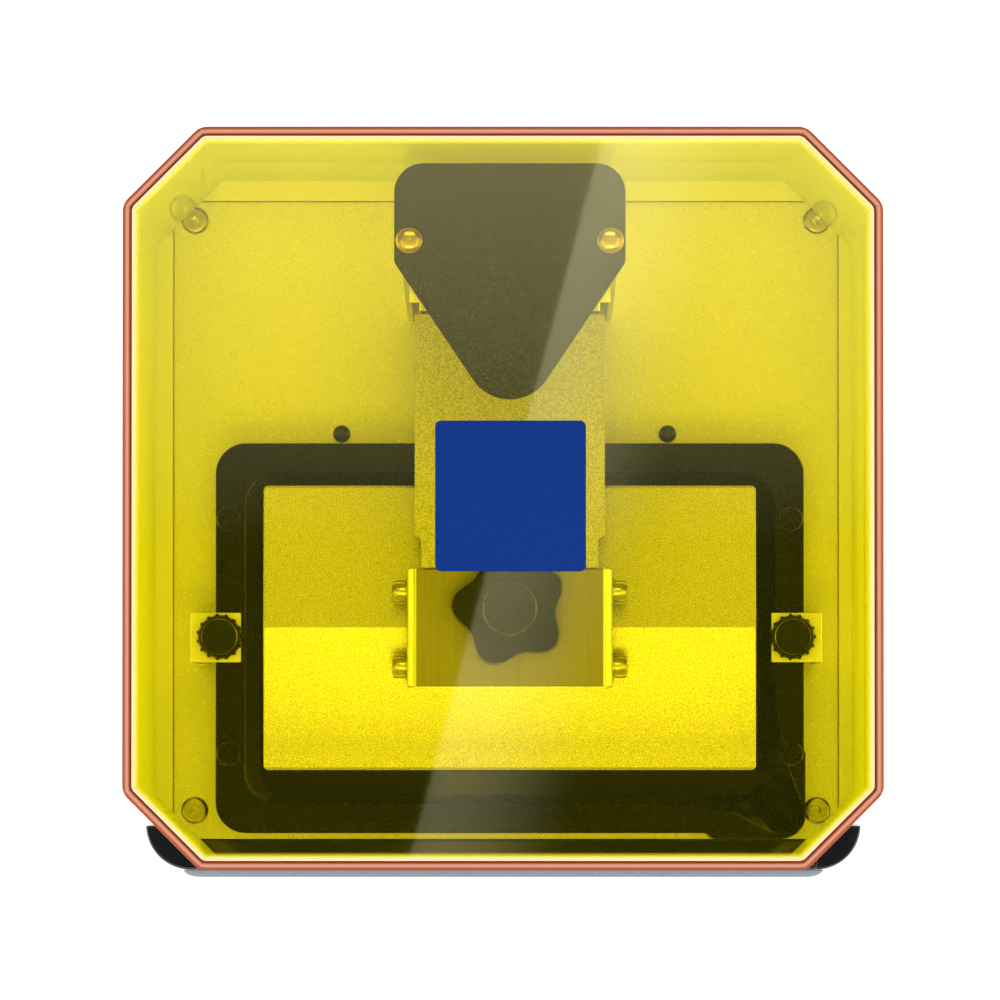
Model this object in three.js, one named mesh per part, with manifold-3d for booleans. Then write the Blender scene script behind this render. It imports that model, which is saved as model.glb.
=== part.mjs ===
// Desktop resin (masked-LCD) 3D printer with a lift-off tinted cover, as an assembly of separate solids.
// Millimetres, +Z up, front towards -Y, origin on the floor under the middle of the machine.
import * as THREE from "three";
import { mergeVertices } from "three/addons/utils/BufferGeometryUtils.js";
import Module from "manifold-3d";

const wasm = await Module();
wasm.setup();

// ---------------------------------------------------------------- driving dimensions
const BASE_WIDTH = 222;
const BASE_DEPTH = 217;
const BASE_CORNER = 14;
const BASE_BOTTOM = 9.5;
const BASE_TOP = 160.7; // rim that the cover stands on
const DECK_SEAT = 155; // floor of the recess that holds the deck plate
const TOTAL_HEIGHT = 383;
const WALL = 2;
const GAP = 0.3; // clearance kept between neighbouring solids
const BEZEL_BACK = -94.5; // where the front bezel meets the main housing
const FASCIA_PROUD = 2.3;
const CORE_X = 2; // centre plane of the tower, arm, platform and vat
const DECK_TOP = 158;
const DECK = { width: 206.2, depth: 198, corner: 5.4, x: 0.8, y: 0.1 };
const DECK_SCREW = { x: 96.7, front: -90.1, back: 93.4 }; // x from the deck's middle
const SCREEN = { x: 0, z: 88, width: 72, height: 46 };
const LCD = { width: 150, depth: 88, y: -36.9 };
const VAT = { y: -37.1, width: 181.3, depth: 120.2, corner: 9.4, top: 190 };
const VAT_OPENING = { width: 162.6, depth: 101.4, corner: 9.7 };
const VAT_FLOOR = { width: 155, depth: 96.6, corner: 6 };
const CLAMP = { x: -1.1, y: -37, reach: 7.65, screw: 88.1, inner: 81.6, foot: 92.3, outer: 97.2, sheet: 2 };
// Stretch of the front rim that is left low, so that the vat can slide out over it.
const VAT_TRAVEL = { left: -95, right: 97, back: -98 };
const SPINDLE_Y = 70; // lead screw axis
const TOWER_TOP = 366;
const PLATE = { width: 151, depth: 87.3, y: -34.25, bottom: 195, top: 211, fall: 4, corner: 1.4 };
const BRACKET = { width: 62.7, back: -16.9, front: -52.7, top: 236, bottom: 214 };
const LEVEL_SCREW = { ys: [-23.6, -46.4], z: 220 };
const ARM = { width: 57.8, back: 60.5, front: -16.6, top: 238, bottom: 229 };
const KNOB_Y = -29.2;
const COVER = { bottom: 161, chamfer: 22.5, wall: 2.8 };
const FAN = { x: -48, z: 80, size: 60 };
const INLET = { x: 74, z: 41 };
const SWITCH = { x: 47, z: 41 };
const CARD_SOCKET = { y: -60, z: 60 };
const PLAN_SEGMENTS = 10; // facets in each rounded corner of the base

// ---------------------------------------------------------------- geometry helpers
const asSolid = (geometry) => {
  const bare = geometry.clone();
  bare.deleteAttribute("normal");
  bare.deleteAttribute("uv");
  const merged = mergeVertices(bare, 1e-4);
  return new wasm.Manifold(
    new wasm.Mesh({
      numProp: 3,
      vertProperties: new Float32Array(merged.attributes.position.array),
      triVerts: new Uint32Array(merged.index.array),
    }),
  );
};

const asGeometry = (solid) => {
  const { vertProperties, triVerts, numProp } = solid.getMesh();
  const positions = new Float32Array((vertProperties.length / numProp) * 3);
  for (let i = 0; i < positions.length / 3; i++)
    for (let k = 0; k < 3; k++) positions[3 * i + k] = vertProperties[numProp * i + k];
  const geometry = new THREE.BufferGeometry();
  geometry.setAttribute("position", new THREE.BufferAttribute(positions, 3));
  geometry.setIndex(new THREE.BufferAttribute(new Uint32Array(triVerts), 1));
  geometry.computeVertexNormals();
  return geometry;
};

const join = (...solids) => solids.reduce((a, b) => a.add(b));
const cut = (body, ...tools) => tools.reduce((a, b) => a.subtract(b), body);

const roundedRect = (cx, cy, width, depth, radius) => {
  const [x0, x1, y0, y1] = [cx - width / 2, cx + width / 2, cy - depth / 2, cy + depth / 2];
  const shape = new THREE.Shape();
  shape.moveTo(x0 + radius, y0);
  shape.lineTo(x1 - radius, y0);
  shape.absarc(x1 - radius, y0 + radius, radius, -Math.PI / 2, 0);
  shape.lineTo(x1, y1 - radius);
  shape.absarc(x1 - radius, y1 - radius, radius, 0, Math.PI / 2);
  shape.lineTo(x0 + radius, y1);
  shape.absarc(x0 + radius, y1 - radius, radius, Math.PI / 2, Math.PI);
  shape.lineTo(x0, y0 + radius);
  shape.absarc(x0 + radius, y0 + radius, radius, Math.PI, Math.PI * 1.5);
  return shape;
};

const polygon = (points) => new THREE.Shape(points.map(([x, y]) => new THREE.Vector2(x, y)));

// A shape in the plan, raised from z0 to z1.
const prism = (shape, z0, z1, curveSegments = 5) => {
  const geometry = new THREE.ExtrudeGeometry(shape, { depth: z1 - z0, bevelEnabled: false, curveSegments });
  geometry.translate(0, 0, z0);
  return asSolid(geometry);
};

// A shape drawn in (x, z), running from y0 back to y1.
const prismAlongY = (shape, y0, y1, curveSegments = 5) => {
  const geometry = new THREE.ExtrudeGeometry(shape, { depth: y1 - y0, bevelEnabled: false, curveSegments });
  geometry.rotateX(Math.PI / 2);
  geometry.translate(0, y1, 0);
  return asSolid(geometry);
};

// A shape drawn in (y, z), running from x0 to x1.
const prismAlongX = (shape, x0, x1, curveSegments = 5) => {
  const geometry = new THREE.ExtrudeGeometry(shape, { depth: x1 - x0, bevelEnabled: false, curveSegments });
  geometry.rotateY(Math.PI / 2);
  geometry.rotateX(Math.PI / 2);
  geometry.translate(x0, 0, 0);
  return asSolid(geometry);
};

const box = (x0, x1, y0, y1, z0, z1) => {
  const geometry = new THREE.BoxGeometry(x1 - x0, y1 - y0, z1 - z0);
  geometry.translate((x0 + x1) / 2, (y0 + y1) / 2, (z0 + z1) / 2);
  return asSolid(geometry);
};

const rod = (x, y, z0, z1, radius, segments = 16) => {
  const geometry = new THREE.CylinderGeometry(radius, radius, z1 - z0, segments);
  geometry.rotateX(Math.PI / 2);
  geometry.translate(x, y, (z0 + z1) / 2);
  return asSolid(geometry);
};

const rodAlongY = (x, z, y0, y1, radius, segments = 16) => {
  const geometry = new THREE.CylinderGeometry(radius, radius, y1 - y0, segments);
  geometry.translate(x, (y0 + y1) / 2, z);
  return asSolid(geometry);
};

const rodAlongX = (y, z, x0, x1, radius, segments = 16) => {
  const geometry = new THREE.CylinderGeometry(radius, radius, x1 - x0, segments);
  geometry.rotateZ(Math.PI / 2);
  geometry.translate((x0 + x1) / 2, y, z);
  return asSolid(geometry);
};

// A profile of [radius, height] points turned about Z.
const turned = (profile, segments = 14) => {
  const points = profile.map(([r, z]) => new THREE.Vector2(r, z));
  const geometry = new THREE.LatheGeometry(points, segments);
  geometry.rotateX(Math.PI / 2);
  return asSolid(geometry);
};

// A closed body between two loops of [x, y, z] points, counter-clockwise seen from above.
const loft = (lower, upper) => {
  const count = lower.length;
  const positions = new Float32Array([...lower, ...upper].flat());
  const outline = (loop) => loop.map(([x, y]) => new THREE.Vector2(x, y));
  const indices = [];
  for (let i = 0; i < count; i++) {
    const next = (i + 1) % count;
    indices.push(i, next, count + next, i, count + next, count + i);
  }
  for (const [a, b, c] of THREE.ShapeUtils.triangulateShape(outline(lower), [])) indices.push(a, c, b);
  for (const [a, b, c] of THREE.ShapeUtils.triangulateShape(outline(upper), []))
    indices.push(count + a, count + b, count + c);
  const geometry = new THREE.BufferGeometry();
  geometry.setAttribute("position", new THREE.BufferAttribute(positions, 3));
  geometry.setIndex(indices);
  return asSolid(geometry);
};

const loopOf = (shape, z, divisions = 5) =>
  shape
    .getPoints(divisions)
    .filter((p, i, all) => p.distanceTo(all[(i + 1) % all.length]) > 1e-6)
    .map((p) => [p.x, p.y, z]);

// ---------------------------------------------------------------- materials
const paint = (color, roughness, metalness, opacity = 1) =>
  new THREE.MeshStandardMaterial({ color, roughness, metalness, opacity, transparent: opacity < 1 });
const silver = paint("#c3c4c2", 0.42, 0.85);
const brushed = paint("#aaa89f", 0.35, 0.95);
const darkCap = paint("#2b2b29", 0.75, 0.1);
const blackGloss = paint("#0b0b0d", 0.12, 0);
const fasciaGrey = paint("#8b9097", 0.45, 0.4);
const blackMatte = paint("#17170f", 0.5, 0.2);
const rubber = paint("#141414", 0.9, 0);
const steel = paint("#8f9092", 0.3, 1);
const brass = paint("#b58d3c", 0.35, 1);
const glassBlack = paint("#050609", 0.06, 0);
const filmClear = paint("#dfe6ea", 0.1, 0, 0.3);
const boardGreen = paint("#1d4a35", 0.5, 0);
const coverYellow = paint("#ffe619", 0.05, 0, 0.45);
const labelBlue = paint("#173885", 0.4, 0);
const white = paint("#e4e4de", 0.5, 0);

const machine = new THREE.Group();
const mechanism = new THREE.Group();
mechanism.position.x = CORE_X;
machine.add(mechanism);

const place = (parent, name, solid, material, x = 0, y = 0, z = 0) => {
  const mesh = new THREE.Mesh(asGeometry(solid), material);
  mesh.name = name;
  mesh.position.set(x, y, z);
  parent.add(mesh);
  return mesh;
};

// ---------------------------------------------------------------- screws
const SOCKET_DEPTH = 1.3;
const buttonScrew = (radius, height, shank, length) => {
  const body = turned([
    [0, -length],
    [shank, -length],
    [shank, 0],
    [radius, 0],
    [radius, height * 0.3],
    [radius * 0.8, height * 0.75],
    [radius * 0.45, height],
    [0, height],
  ]);
  return cut(body, rod(0, 0, height - SOCKET_DEPTH, height + 1, radius * 0.34, 6));
};

const capScrew = (radius, height, shank, length) =>
  cut(
    turned([
      [0, -length],
      [shank, -length],
      [shank, 0],
      [radius, 0],
      [radius, height * 0.86],
      [radius * 0.86, height],
      [0, height],
    ]),
    rod(0, 0, height - 2, height + 1, radius * 0.5, 6),
  );

// ---------------------------------------------------------------- housing, bezel, fascia and feet
const halfWidth = BASE_WIDTH / 2;
const halfDepth = BASE_DEPTH / 2;

// Plan of the base cut off at the plane where bezel and housing meet.
const basePlan = (inset, keepFront) => {
  const whole = prism(
    roundedRect(0, 0, BASE_WIDTH - 2 * inset, BASE_DEPTH - 2 * inset, BASE_CORNER - inset),
    0,
    1,
    PLAN_SEGMENTS,
  );
  const wide = BASE_WIDTH;
  return keepFront
    ? whole.intersect(box(-wide, wide, -wide, BEZEL_BACK - GAP, -1, 2))
    : whole.intersect(box(-wide, wide, BEZEL_BACK, wide, -1, 2));
};
const raise = (unitSlab, z0, z1) => unitSlab.scale([1, 1, z1 - z0]).translate([0, 0, z0]);

const sideVents = () => {
  const slots = [];
  const [pitch, count, slotWidth, slotHeight] = [10, 7, 3.6, 34];
  for (let i = 0; i < count; i++) {
    const y = 12 + i * pitch;
    slots.push(prismAlongX(roundedRect(y, 84, slotWidth, slotHeight, slotWidth / 2 - 0.01), -120, 120, 2));
  }
  return slots;
};

const deckPlan = (grow) => roundedRect(DECK.x, DECK.y, DECK.width + grow, DECK.depth + grow, DECK.corner);
const deckRecess = () => prism(deckPlan(0.8), DECK_SEAT, BASE_TOP + 1);

const housing = cut(
  raise(basePlan(0, false), BASE_BOTTOM, BASE_TOP),
  raise(basePlan(WALL, false), BASE_BOTTOM - 1, DECK_SEAT - 2),
  deckRecess(),
  box(-86, 86, BEZEL_BACK - 1, 94, DECK_SEAT - 3, DECK_SEAT + 1),
  box(-109, 109, BEZEL_BACK - 1, BEZEL_BACK + 3, BASE_BOTTOM - 1, DECK_SEAT - 2),
  rodAlongY(FAN.x, FAN.z, 100, 112, 27, 20),
  box(SWITCH.x - 10, SWITCH.x + 10, 100, 112, SWITCH.z - 7, SWITCH.z + 7),
  box(INLET.x - 8, INLET.x + 8, 100, 112, INLET.z - 7, INLET.z + 7),
  box(100, 112, CARD_SOCKET.y - 8, CARD_SOCKET.y + 8, CARD_SOCKET.z - 4, CARD_SOCKET.z + 4),
  ...sideVents(),
);
place(machine, "main_housing", housing, silver);

const bezel = cut(
  raise(basePlan(0, true), BASE_BOTTOM, BASE_TOP),
  raise(basePlan(2.5, true), BASE_BOTTOM - 1, DECK_SEAT - 3),
  deckRecess(),
  box(VAT_TRAVEL.left, VAT_TRAVEL.right, -halfDepth - 1, VAT_TRAVEL.back, DECK_TOP - 0.4, BASE_TOP + 1),
  box(-106, 106, BEZEL_BACK - 4, BEZEL_BACK + 1, BASE_BOTTOM - 1, DECK_SEAT - 3),
  box(-SCREEN.width / 2 - 1, SCREEN.width / 2 + 1, -112, -100, SCREEN.z - 24, SCREEN.z + 24),
);
place(machine, "front_bezel", bezel, blackGloss);

const FASCIA = { half: 99.8, bottom: 16, top: 147, ease: 5.6 };
const fasciaPlan = new THREE.Shape();
fasciaPlan.moveTo(-FASCIA.half, 0);
fasciaPlan.quadraticCurveTo(-FASCIA.half + 1, -FASCIA_PROUD, -FASCIA.half + FASCIA.ease, -FASCIA_PROUD);
fasciaPlan.lineTo(FASCIA.half - FASCIA.ease, -FASCIA_PROUD);
fasciaPlan.quadraticCurveTo(FASCIA.half - 1, -FASCIA_PROUD, FASCIA.half, 0);
const fascia = cut(
  prism(fasciaPlan, FASCIA.bottom, FASCIA.top),
  box(
    SCREEN.x - SCREEN.width / 2 - GAP,
    SCREEN.x + SCREEN.width / 2 + GAP,
    -5,
    5,
    SCREEN.z - SCREEN.height / 2 - GAP,
    SCREEN.z + SCREEN.height / 2 + GAP,
  ),
);
place(machine, "front_fascia", fascia, fasciaGrey, 0, -halfDepth, 0);
place(
  machine,
  "touch_screen",
  prismAlongY(roundedRect(0, 0, SCREEN.width, SCREEN.height, 2.5), 0, 4.2, 3),
  glassBlack,
  SCREEN.x,
  -halfDepth - FASCIA_PROUD + 0.4,
  SCREEN.z,
);
const bottomPlan = roundedRect(0, 0, BASE_WIDTH - 1, BASE_DEPTH - 1, BASE_CORNER - 0.5);
place(machine, "bottom_plate", prism(bottomPlan, 0, 1.3, PLAN_SEGMENTS), blackMatte, 0, 0, 8);

const FOOT = { x: 88, y: 84, top: 7.9 };
const footProfile = [
  [0, 0],
  [8, 0],
  [9, 1],
  [9.5, FOOT.top],
  [0, FOOT.top],
];
for (const [side, sx] of [["left", -1], ["right", 1]])
  for (const [end, sy] of [["front", -1], ["rear", 1]])
    place(machine, `foot_${end}_${side}`, turned(footProfile, 16), rubber, sx * FOOT.x, sy * FOOT.y, 0);

// ---------------------------------------------------------------- deck, masking screen, light engine
const TOWER = { halfWidth: 31.8, back: 97.5, backInner: 95, sheet: 2, topFront: 69, bottomFront: 62 };
const lcdHole = (grow, z0, z1) =>
  prism(roundedRect(CORE_X, LCD.y, LCD.width + grow, LCD.depth + grow, 1.5), z0, z1, 2);
const deckScrewX = (side) => DECK.x + side * DECK_SCREW.x;
const deckPlate = cut(
  prism(deckPlan(0), DECK_SEAT, DECK_TOP),
  lcdHole(0.8, DECK_SEAT - 1, DECK_TOP + 1),
  rod(CORE_X, SPINDLE_Y, DECK_SEAT - 1, DECK_TOP + 1, 7),
  ...[-1, 1].flatMap((side) =>
    [DECK_SCREW.front, DECK_SCREW.back].map((y) =>
      rod(deckScrewX(side), y, DECK_SEAT - 1, DECK_TOP + 1, 2.4, 10),
    ),
  ),
);
place(machine, "deck_plate", deckPlate, silver);
for (const [side, sx] of [["left", -1], ["right", 1]])
  for (const [end, y] of [["front", DECK_SCREW.front], ["rear", DECK_SCREW.back]]) {
    const screw = buttonScrew(4.25, 2.4, 2, 2.6);
    place(machine, `deck_screw_${end}_${side}`, screw, steel, deckScrewX(sx), y, DECK_TOP + 0.1);
  }

const lcdPanel = prism(roundedRect(0, 0, LCD.width, LCD.depth, 1.2), 0, 2.2, 2);
place(mechanism, "lcd_panel", lcdPanel, glassBlack, 0, LCD.y, DECK_SEAT + 0.7);

// Four-sided tapered tube under the screen, with a flange that carries the glass.
const tapered = (w0, d0, z0, w1, d1, z1) =>
  loft(loopOf(roundedRect(0, 0, w0, d0, 3), z0, 2), loopOf(roundedRect(0, 0, w1, d1, 3), z1, 2));
const hood = cut(
  join(tapered(112, 72, 0, 150, 88, 86), prism(roundedRect(0, 0, 164, 102, 4), 86, 90, 2)),
  tapered(109, 69, -1, 144, 82, 91),
);
place(mechanism, "light_hood", hood, white, 0, LCD.y, 64.7);
place(mechanism, "lens_array", prism(roundedRect(0, 0, 112, 72, 3), 0, 3, 2), filmClear, 0, LCD.y, 61.2);
const ledGrid = [];
for (let i = -2; i <= 2; i++)
  for (let j = -1; j <= 1; j++)
    ledGrid.push(box(i * 21 - 2.5, i * 21 + 2.5, j * 21 - 2.5, j * 21 + 2.5, 1.5, 3.4));
place(mechanism, "led_board", join(box(-57, 57, -37, 37, 0, 1.6), ...ledGrid), boardGreen, 0, LCD.y, 54.6);
const fins = [];
for (let i = -5; i <= 5; i++) fins.push(box(i * 11 - 1, i * 11 + 1, -37, 37, 0, 22));
place(mechanism, "heat_sink", join(box(-57, 57, -37, 37, 21, 26), ...fins), steel, 0, LCD.y, 28.3);

// ---------------------------------------------------------------- fan, boards, switch and sockets
const fanFrame = cut(
  prismAlongY(roundedRect(FAN.x, FAN.z, FAN.size, FAN.size, 4), 91, 106, 3),
  rodAlongY(FAN.x, FAN.z, 90, 103.5, 28, 24),
  rodAlongY(FAN.x, FAN.z, 103, 107, 26, 24),
);
const strut = (angle) =>
  box(-29, 29, 103.6, 106, -1.5, 1.5).rotate([0, angle, 0]).translate([FAN.x, 0, FAN.z]);
const fanHub = rodAlongY(FAN.x, FAN.z, 103.6, 106, 11);
place(machine, "fan_frame", join(fanFrame, strut(45), strut(135), fanHub), blackMatte);
const blade = (angle) =>
  box(-1, 1, -5.4, 5.4, 10, 26)
    .rotate([0, 0, 38])
    .rotate([0, angle, 0]);
const BLADES = 7;
const blades = Array.from({ length: BLADES }, (_, i) => blade((i * 360) / BLADES));
const rotor = join(rodAlongY(0, 0, -6, 6, 12), ...blades);
place(machine, "fan_rotor", rotor, blackMatte, FAN.x, 97.2, FAN.z);

const ringAlongY = (outer, inner, y0, y1) =>
  cut(rodAlongY(0, 0, y0, y1, outer, 20), rodAlongY(0, 0, y0 - 1, y1 + 1, inner, 20));
const spoke = (angle) => box(-29.5, 29.5, 0.5, 2, -1, 1).rotate([0, angle, 0]);
place(
  machine,
  "fan_guard",
  join(
    ringAlongY(31, 28.4, GAP, FASCIA_PROUD),
    ringAlongY(20, 18.4, 0.5, 2),
    ringAlongY(10, 8.4, 0.5, 2),
    spoke(0).add(spoke(90)).subtract(rodAlongY(0, 0, -1, 5, 8.6, 20)),
  ),
  steel,
  FAN.x,
  halfDepth,
  FAN.z,
);

const standoffs = [-1, 1].flatMap((sx) => [-1, 1].map((sy) => rod(sx * 44, sy * 31, 0, 7, 2.5, 8)));
const components = [
  box(-20, -4, -8, 8, 8.4, 11),
  box(10, 22, -20, -8, 8.4, 12),
  box(-46, -34, 8, 26, 8.4, 16),
  box(28, 44, 10, 24, 8.4, 14),
  rod(0, 24, 8.4, 19, 4.5, 12),
  rod(12, 24, 8.4, 19, 4.5, 12),
];
const mainboard = join(box(-48, 48, -35, 35, 6.9, 8.6), ...standoffs, ...components);
place(machine, "mainboard", mainboard, boardGreen, -50, 55, 9.4);

place(
  machine,
  "power_inlet",
  cut(
    join(
      box(-6.5, 6.5, -12, 1, -6, 6),
      box(-9, 9, 0.1, 2, -8, 8),
    ),
    rodAlongY(0, 0, -9, 4, 3.2, 8),
  ),
  blackMatte,
  INLET.x,
  halfDepth + 0.2,
  INLET.z,
);
const ROCKER_TILT = 8; // degrees each side of level; the switch rests in its off position
const switchBody = cut(
  join(
    box(-9.5, 9.5, -14, 1, -6.5, 6.5),
    box(-11, 11, 0.1, 1.6, -8, 8),
  ),
  box(-8, 8, -6, 3, -5, 5),
);
place(machine, "power_switch_body", switchBody, blackMatte, SWITCH.x, halfDepth + 0.2, SWITCH.z);
// Rocker: a shallow vee seen from the side, turning about a pin along Z at its middle.
const rockerPlan = polygon([
  [-7.4, -1.6],
  [0, -3.2],
  [7.4, -1.6],
  [7.2, 1.2],
  [0, -0.4],
  [-7.2, 1.2],
]);
const rocker = place(
  machine,
  "power_rocker",
  prism(rockerPlan, -4.5, 4.5),
  blackGloss,
  SWITCH.x,
  halfDepth + 0.8,
  SWITCH.z,
);
rocker.rotation.z = THREE.MathUtils.degToRad(-ROCKER_TILT);

const usbPort = cut(
  box(-16, 0, -7.4, 7.4, -3.6, 3.6),
  box(-12, 1, -6.2, 6.2, -2.6, 2.6),
);
place(machine, "usb_port", usbPort, steel, halfWidth - 0.1, CARD_SOCKET.y, CARD_SOCKET.z);

// ---------------------------------------------------------------- Z drive inside the base
const MOTOR = { half: 21, bottom: 88, top: 126 };
const motorCut = MOTOR.half - 4;
const motorPlan = polygon([
  [-motorCut, -MOTOR.half],
  [motorCut, -MOTOR.half],
  [MOTOR.half, -motorCut],
  [MOTOR.half, motorCut],
  [motorCut, MOTOR.half],
  [-motorCut, MOTOR.half],
  [-MOTOR.half, motorCut],
  [-MOTOR.half, -motorCut],
]);
const motor = cut(
  join(prism(motorPlan, MOTOR.bottom, MOTOR.top), rod(0, 0, MOTOR.top - 1, MOTOR.top + 2, 11)),
  rod(0, 0, MOTOR.top - 10, MOTOR.top + 4, 2.9, 12),
);
place(mechanism, "z_motor", motor, blackMatte, 0, SPINDLE_Y, 0);
const motorMount = cut(
  join(
    box(-26, 26, -22, 22, MOTOR.top + 0.2, MOTOR.top + 3.2),
    box(-26, -23.5, -22, 22, MOTOR.top + 0.2, DECK_SEAT - 0.2),
    box(23.5, 26, -22, 22, MOTOR.top + 0.2, DECK_SEAT - 0.2),
  ),
  rod(0, 0, 120, 135, 11.4),
);
place(mechanism, "motor_mount", motorMount, steel, 0, SPINDLE_Y, 0);
const SPINDLE = { radius: 4, top: 365 };
place(mechanism, "lead_screw", rod(0, 0, 143, SPINDLE.top, SPINDLE.radius), steel, 0, SPINDLE_Y, 0);
place(
  mechanism,
  "shaft_coupler",
  join(
    cut(rod(0, 0, 130.5, 154, 9.5, 20), rod(0, 0, 142.5, 155, 4.1), rod(0, 0, 129, 141, 2.4)),
    rod(0, 0, 118, 141.5, 2.5, 12),
  ),
  silver,
  0,
  SPINDLE_Y,
  0,
);

// ---------------------------------------------------------------- tower
const sideProfile = polygon([
  [TOWER.bottomFront, DECK_TOP + GAP],
  [TOWER.back, DECK_TOP + GAP],
  [TOWER.back, TOWER_TOP],
  [TOWER.topFront, TOWER_TOP],
]);
const towerFrame = join(
  prismAlongX(sideProfile, -TOWER.halfWidth, -TOWER.halfWidth + TOWER.sheet),
  prismAlongX(sideProfile, TOWER.halfWidth - TOWER.sheet, TOWER.halfWidth),
  box(-TOWER.halfWidth, TOWER.halfWidth, TOWER.backInner, TOWER.back, DECK_TOP + GAP, TOWER_TOP),
);
place(mechanism, "tower_frame", towerFrame, silver);
const railFront = 87;
place(mechanism, "guide_rail", box(-6, 6, railFront, TOWER.backInner - 0.1, 160, 361), steel);
const topPlate = cut(
  box(-29.5, 29.5, 58, TOWER.backInner - 0.2, 361.4, TOWER_TOP),
  rod(0, SPINDLE_Y, 360, 364.5, 8.3),
  rod(0, SPINDLE_Y, 360, 367, 5),
);
place(mechanism, "tower_top_plate", topPlate, silver);
place(
  mechanism,
  "top_bearing",
  cut(rod(0, SPINDLE_Y, 361.6, 364.4, 8), rod(0, SPINDLE_Y, 361, 365, 4.15)),
  steel,
);

// Cap plate: rounded back corners, straight shoulders and a rounded nose over the arm.
const CAP = { half: 33.9, back: 98.6, shoulder: 69.6, tip: 29.4, corner: 8, noseRadius: 13, thickness: 3 };
const capPlan = () => {
  const noseY = CAP.tip + CAP.noseRadius;
  const run = Math.hypot(CAP.half, CAP.shoulder - noseY);
  const lean = Math.atan2(CAP.shoulder - noseY, CAP.half) - Math.asin(CAP.noseRadius / run);
  const start = -Math.PI / 2 - lean;
  const shape = new THREE.Shape();
  const [cornerX, cornerY] = [CAP.half - CAP.corner, CAP.back - CAP.corner];
  shape.moveTo(-CAP.half, CAP.shoulder);
  shape.absarc(0, noseY, CAP.noseRadius, start, -Math.PI - start);
  shape.lineTo(CAP.half, CAP.shoulder);
  shape.absarc(cornerX, cornerY, CAP.corner, 0, Math.PI / 2);
  shape.absarc(-cornerX, cornerY, CAP.corner, Math.PI / 2, Math.PI);
  return shape;
};
const CAP_SCREW = { x: 29.4, y: 75.9 };
const towerCap = cut(
  prism(capPlan(), 0, CAP.thickness, 6),
  ...[-1, 1].map((side) => rod(side * CAP_SCREW.x, CAP_SCREW.y, -1, 4, 2.3, 10)),
);
place(mechanism, "tower_cap", towerCap, darkCap, 0, 0, TOWER_TOP + 0.2);
for (const [side, sx] of [["left", -1], ["right", 1]])
  place(
    mechanism,
    `cap_screw_${side}`,
    buttonScrew(4.1, 2.3, 2, 2.9),
    brass,
    sx * CAP_SCREW.x,
    CAP_SCREW.y,
    TOWER_TOP + CAP.thickness + 0.3,
  );

// ---------------------------------------------------------------- carriage and arm
place(
  mechanism,
  "rail_carriage",
  cut(box(-13.5, 13.5, 80.2, 92, 198, 234), box(-6.4, 6.4, railFront - 0.4, 93, 197, 235)),
  steel,
);
place(
  mechanism,
  "carriage_block",
  cut(
    box(-27.5, 27.5, 61.5, 80, 206, 236),
    rod(0, SPINDLE_Y, 205, 237, 5.4),
  ),
  silver,
);
place(
  mechanism,
  "lead_nut",
  cut(
    join(rod(0, SPINDLE_Y, 202, 205.8, 9.8, 18), rod(0, SPINDLE_Y, 202, 222, 5.1)),
    rod(0, SPINDLE_Y, 201, 223, SPINDLE.radius + 0.25),
  ),
  brass,
);

// The arm is an inverted channel, deep at the carriage and shallow over the vat.
const armSide = polygon([
  [ARM.front, ARM.bottom],
  [30, ARM.bottom],
  [ARM.back, 209],
  [ARM.back, ARM.top],
  [ARM.front, ARM.top],
]);
const armHalf = ARM.width / 2;
const armShell = cut(
  join(
    prismAlongX(armSide, -armHalf, -armHalf + 2),
    prismAlongX(armSide, armHalf - 2, armHalf),
    box(-armHalf, armHalf, ARM.front, ARM.back, ARM.top - 2, ARM.top),
    box(-armHalf, armHalf, ARM.back - 2, ARM.back, 209, ARM.top),
  ),
  ...[-1, 1].map((side) =>
    prism(roundedRect(side * armHalf, ARM.front - 1, 4, 21.4, 1.9), ARM.bottom - 1, ARM.top + 1, 3),
  ),
);
place(mechanism, "arm_shell", armShell, brushed);
const TONGUE = { bottom: 229.5, top: 233.5, half: 26.6, front: -50 };
place(
  mechanism,
  "arm_tongue",
  box(-TONGUE.half, TONGUE.half, TONGUE.front, ARM.back - 2.2, TONGUE.bottom, TONGUE.top),
  steel,
);

// ---------------------------------------------------------------- platform
const bracketHalf = BRACKET.width / 2;
const levelHoles = LEVEL_SCREW.ys.map((y) => rodAlongX(y, LEVEL_SCREW.z, -40, 40, 2.7, 10));
const platformBracket = cut(
  join(
    box(-bracketHalf, bracketHalf, BRACKET.front, BRACKET.back, BRACKET.top - 2, BRACKET.top),
    ...[-1, 1].map((side) => {
      const [a, b] = [side * bracketHalf, side * (bracketHalf - 2)].sort((p, q) => p - q);
      return box(a, b, BRACKET.front, BRACKET.back, BRACKET.bottom, BRACKET.top);
    }),
  ),
  rod(0, KNOB_Y, 230, 240, 3.1, 12),
  ...levelHoles,
);
place(mechanism, "platform_bracket", platformBracket, brushed);
const BLOCK = { half: 28.6, front: -50.5, back: -19, top: 227, seat: 0.1 };
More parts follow.
